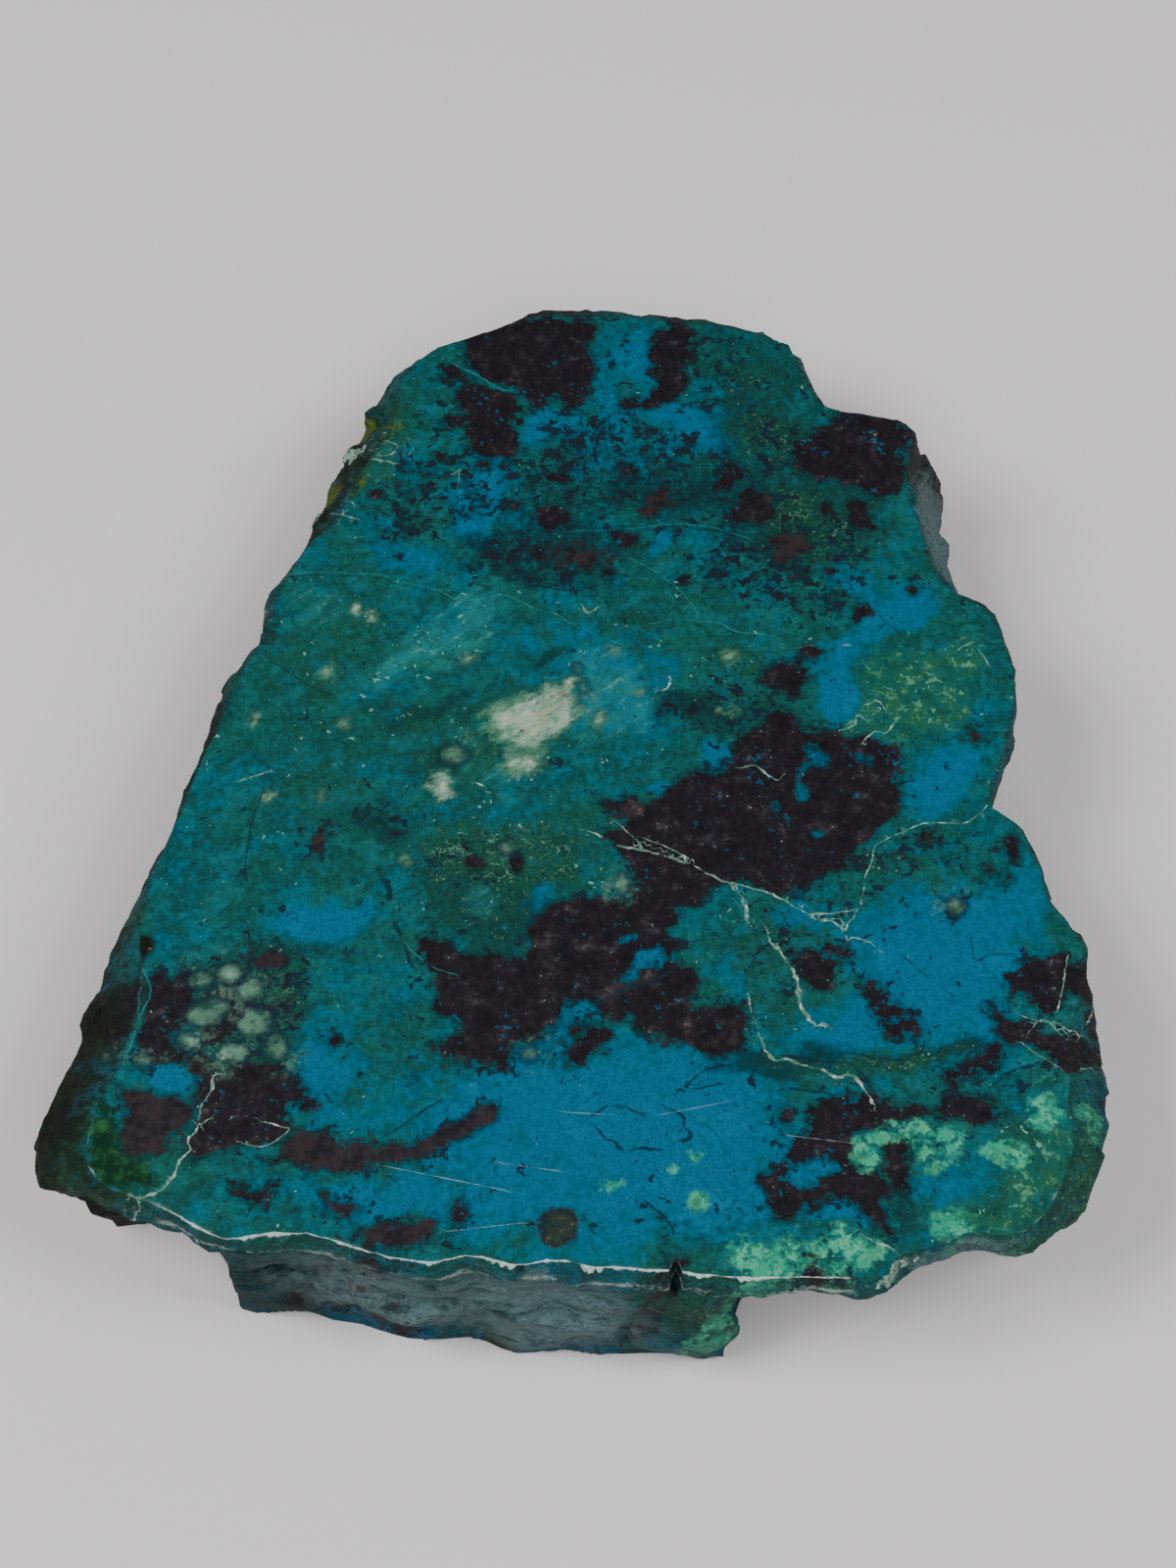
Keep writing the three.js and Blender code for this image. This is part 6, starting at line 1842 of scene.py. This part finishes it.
@dataclass(frozen=True)
class Studio:
    """A plain pale floor, soft lamps, and the camera that looks down on the stone from the front."""

    floor_across: float = 1.2
    floor_colour: tuple[float, ...] = linear(196, 192, 192)
    surround: tuple[float, ...] = linear(120, 122, 126)
    surround_strength: float = 0.6
    lamps: tuple[Lamp, ...] = (
        Lamp("lamp_left", (-0.28, -0.06, 0.35), 0.22, 2.1),
        Lamp("lamp_right", (0.3, -0.05, 0.34), 0.2, 1.45),
        Lamp("lamp_front", (0.05, -0.35, 0.4), 0.22, 1.35),
    )
    elevation: float = 58.0
    distance: float = 0.145
    aim: tuple[float, float, float] = (0.0, -0.002, 0.008)
    lens: float = 72.0

    def build(self) -> None:
        """Lay the floor, hang the lamps and set the camera."""
        self.lay_floor()
        for lamp in self.lamps:
            lamp.hang(Vector(self.aim))
        world = bpy.data.worlds.new("surround")
        world.use_nodes = True
        background = world.node_tree.nodes["Background"]
        background.inputs["Color"].default_value = self.surround
        background.inputs["Strength"].default_value = self.surround_strength
        bpy.context.scene.world = world
        self.set_camera()

    def lay_floor(self) -> None:
        """Lay a flat square floor under the stone."""
        half = self.floor_across / 2
        mesh = bpy.data.meshes.new("floor")
        mesh.from_pydata([(-half, -half, 0), (half, -half, 0), (half, half, 0), (-half, half, 0)], [], [(0, 1, 2, 3)])
        floor = bpy.data.objects.new("floor", mesh)
        floor.location.z = -0.00002
        material = bpy.data.materials.new("pale_floor")
        bench = Bench(material)
        sockets = {"Base Color": self.floor_colour, "Roughness": 0.85, "Specular IOR Level": 0.2}
        surface = bench.node("ShaderNodeBsdfPrincipled", {}, sockets)
        bench.node("ShaderNodeOutputMaterial", {}, {"Surface": bench.out(surface)})
        mesh.materials.append(material)
        bpy.context.scene.collection.objects.link(floor)

    def set_camera(self) -> None:
        """Set the camera in front of the stone, looking down at the photograph's angle."""
        tilt = math.radians(self.elevation)
        aim = Vector(self.aim) - Vector((*DRAWN_MIDDLE, 0)) * MM
        back = Vector((0, -math.cos(tilt), math.sin(tilt)))
        lens = bpy.data.cameras.new("camera")
        lens.lens = self.lens
        lens.sensor_width = 36.0
        lens.clip_start = 0.005
        camera = bpy.data.objects.new("camera", lens)
        camera.location = aim + back * self.distance
        camera.rotation_euler = (-back).to_track_quat("-Z", "Y").to_euler()
        bpy.context.scene.collection.objects.link(camera)
        bpy.context.scene.camera = camera


def main() -> None:
    """Build the stone and the studio round it."""
    logging.basicConfig(level=logging.INFO, format="%(name)s: %(message)s")
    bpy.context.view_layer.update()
    slab = Slab(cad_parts["turquoise_slab"])
    stone = slab.build()
    slab.mark(stone)
    finish = Turquoise()
    stone.data.materials.append(finish.polished())
    stone.data.materials.append(finish.broken())
    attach(stone, "root")
    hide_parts("turquoise_slab")
    Studio().build()
    log.info("studio: floor, %d lamps and camera", len(Studio().lamps))


if __name__ == "__main__":
    main()
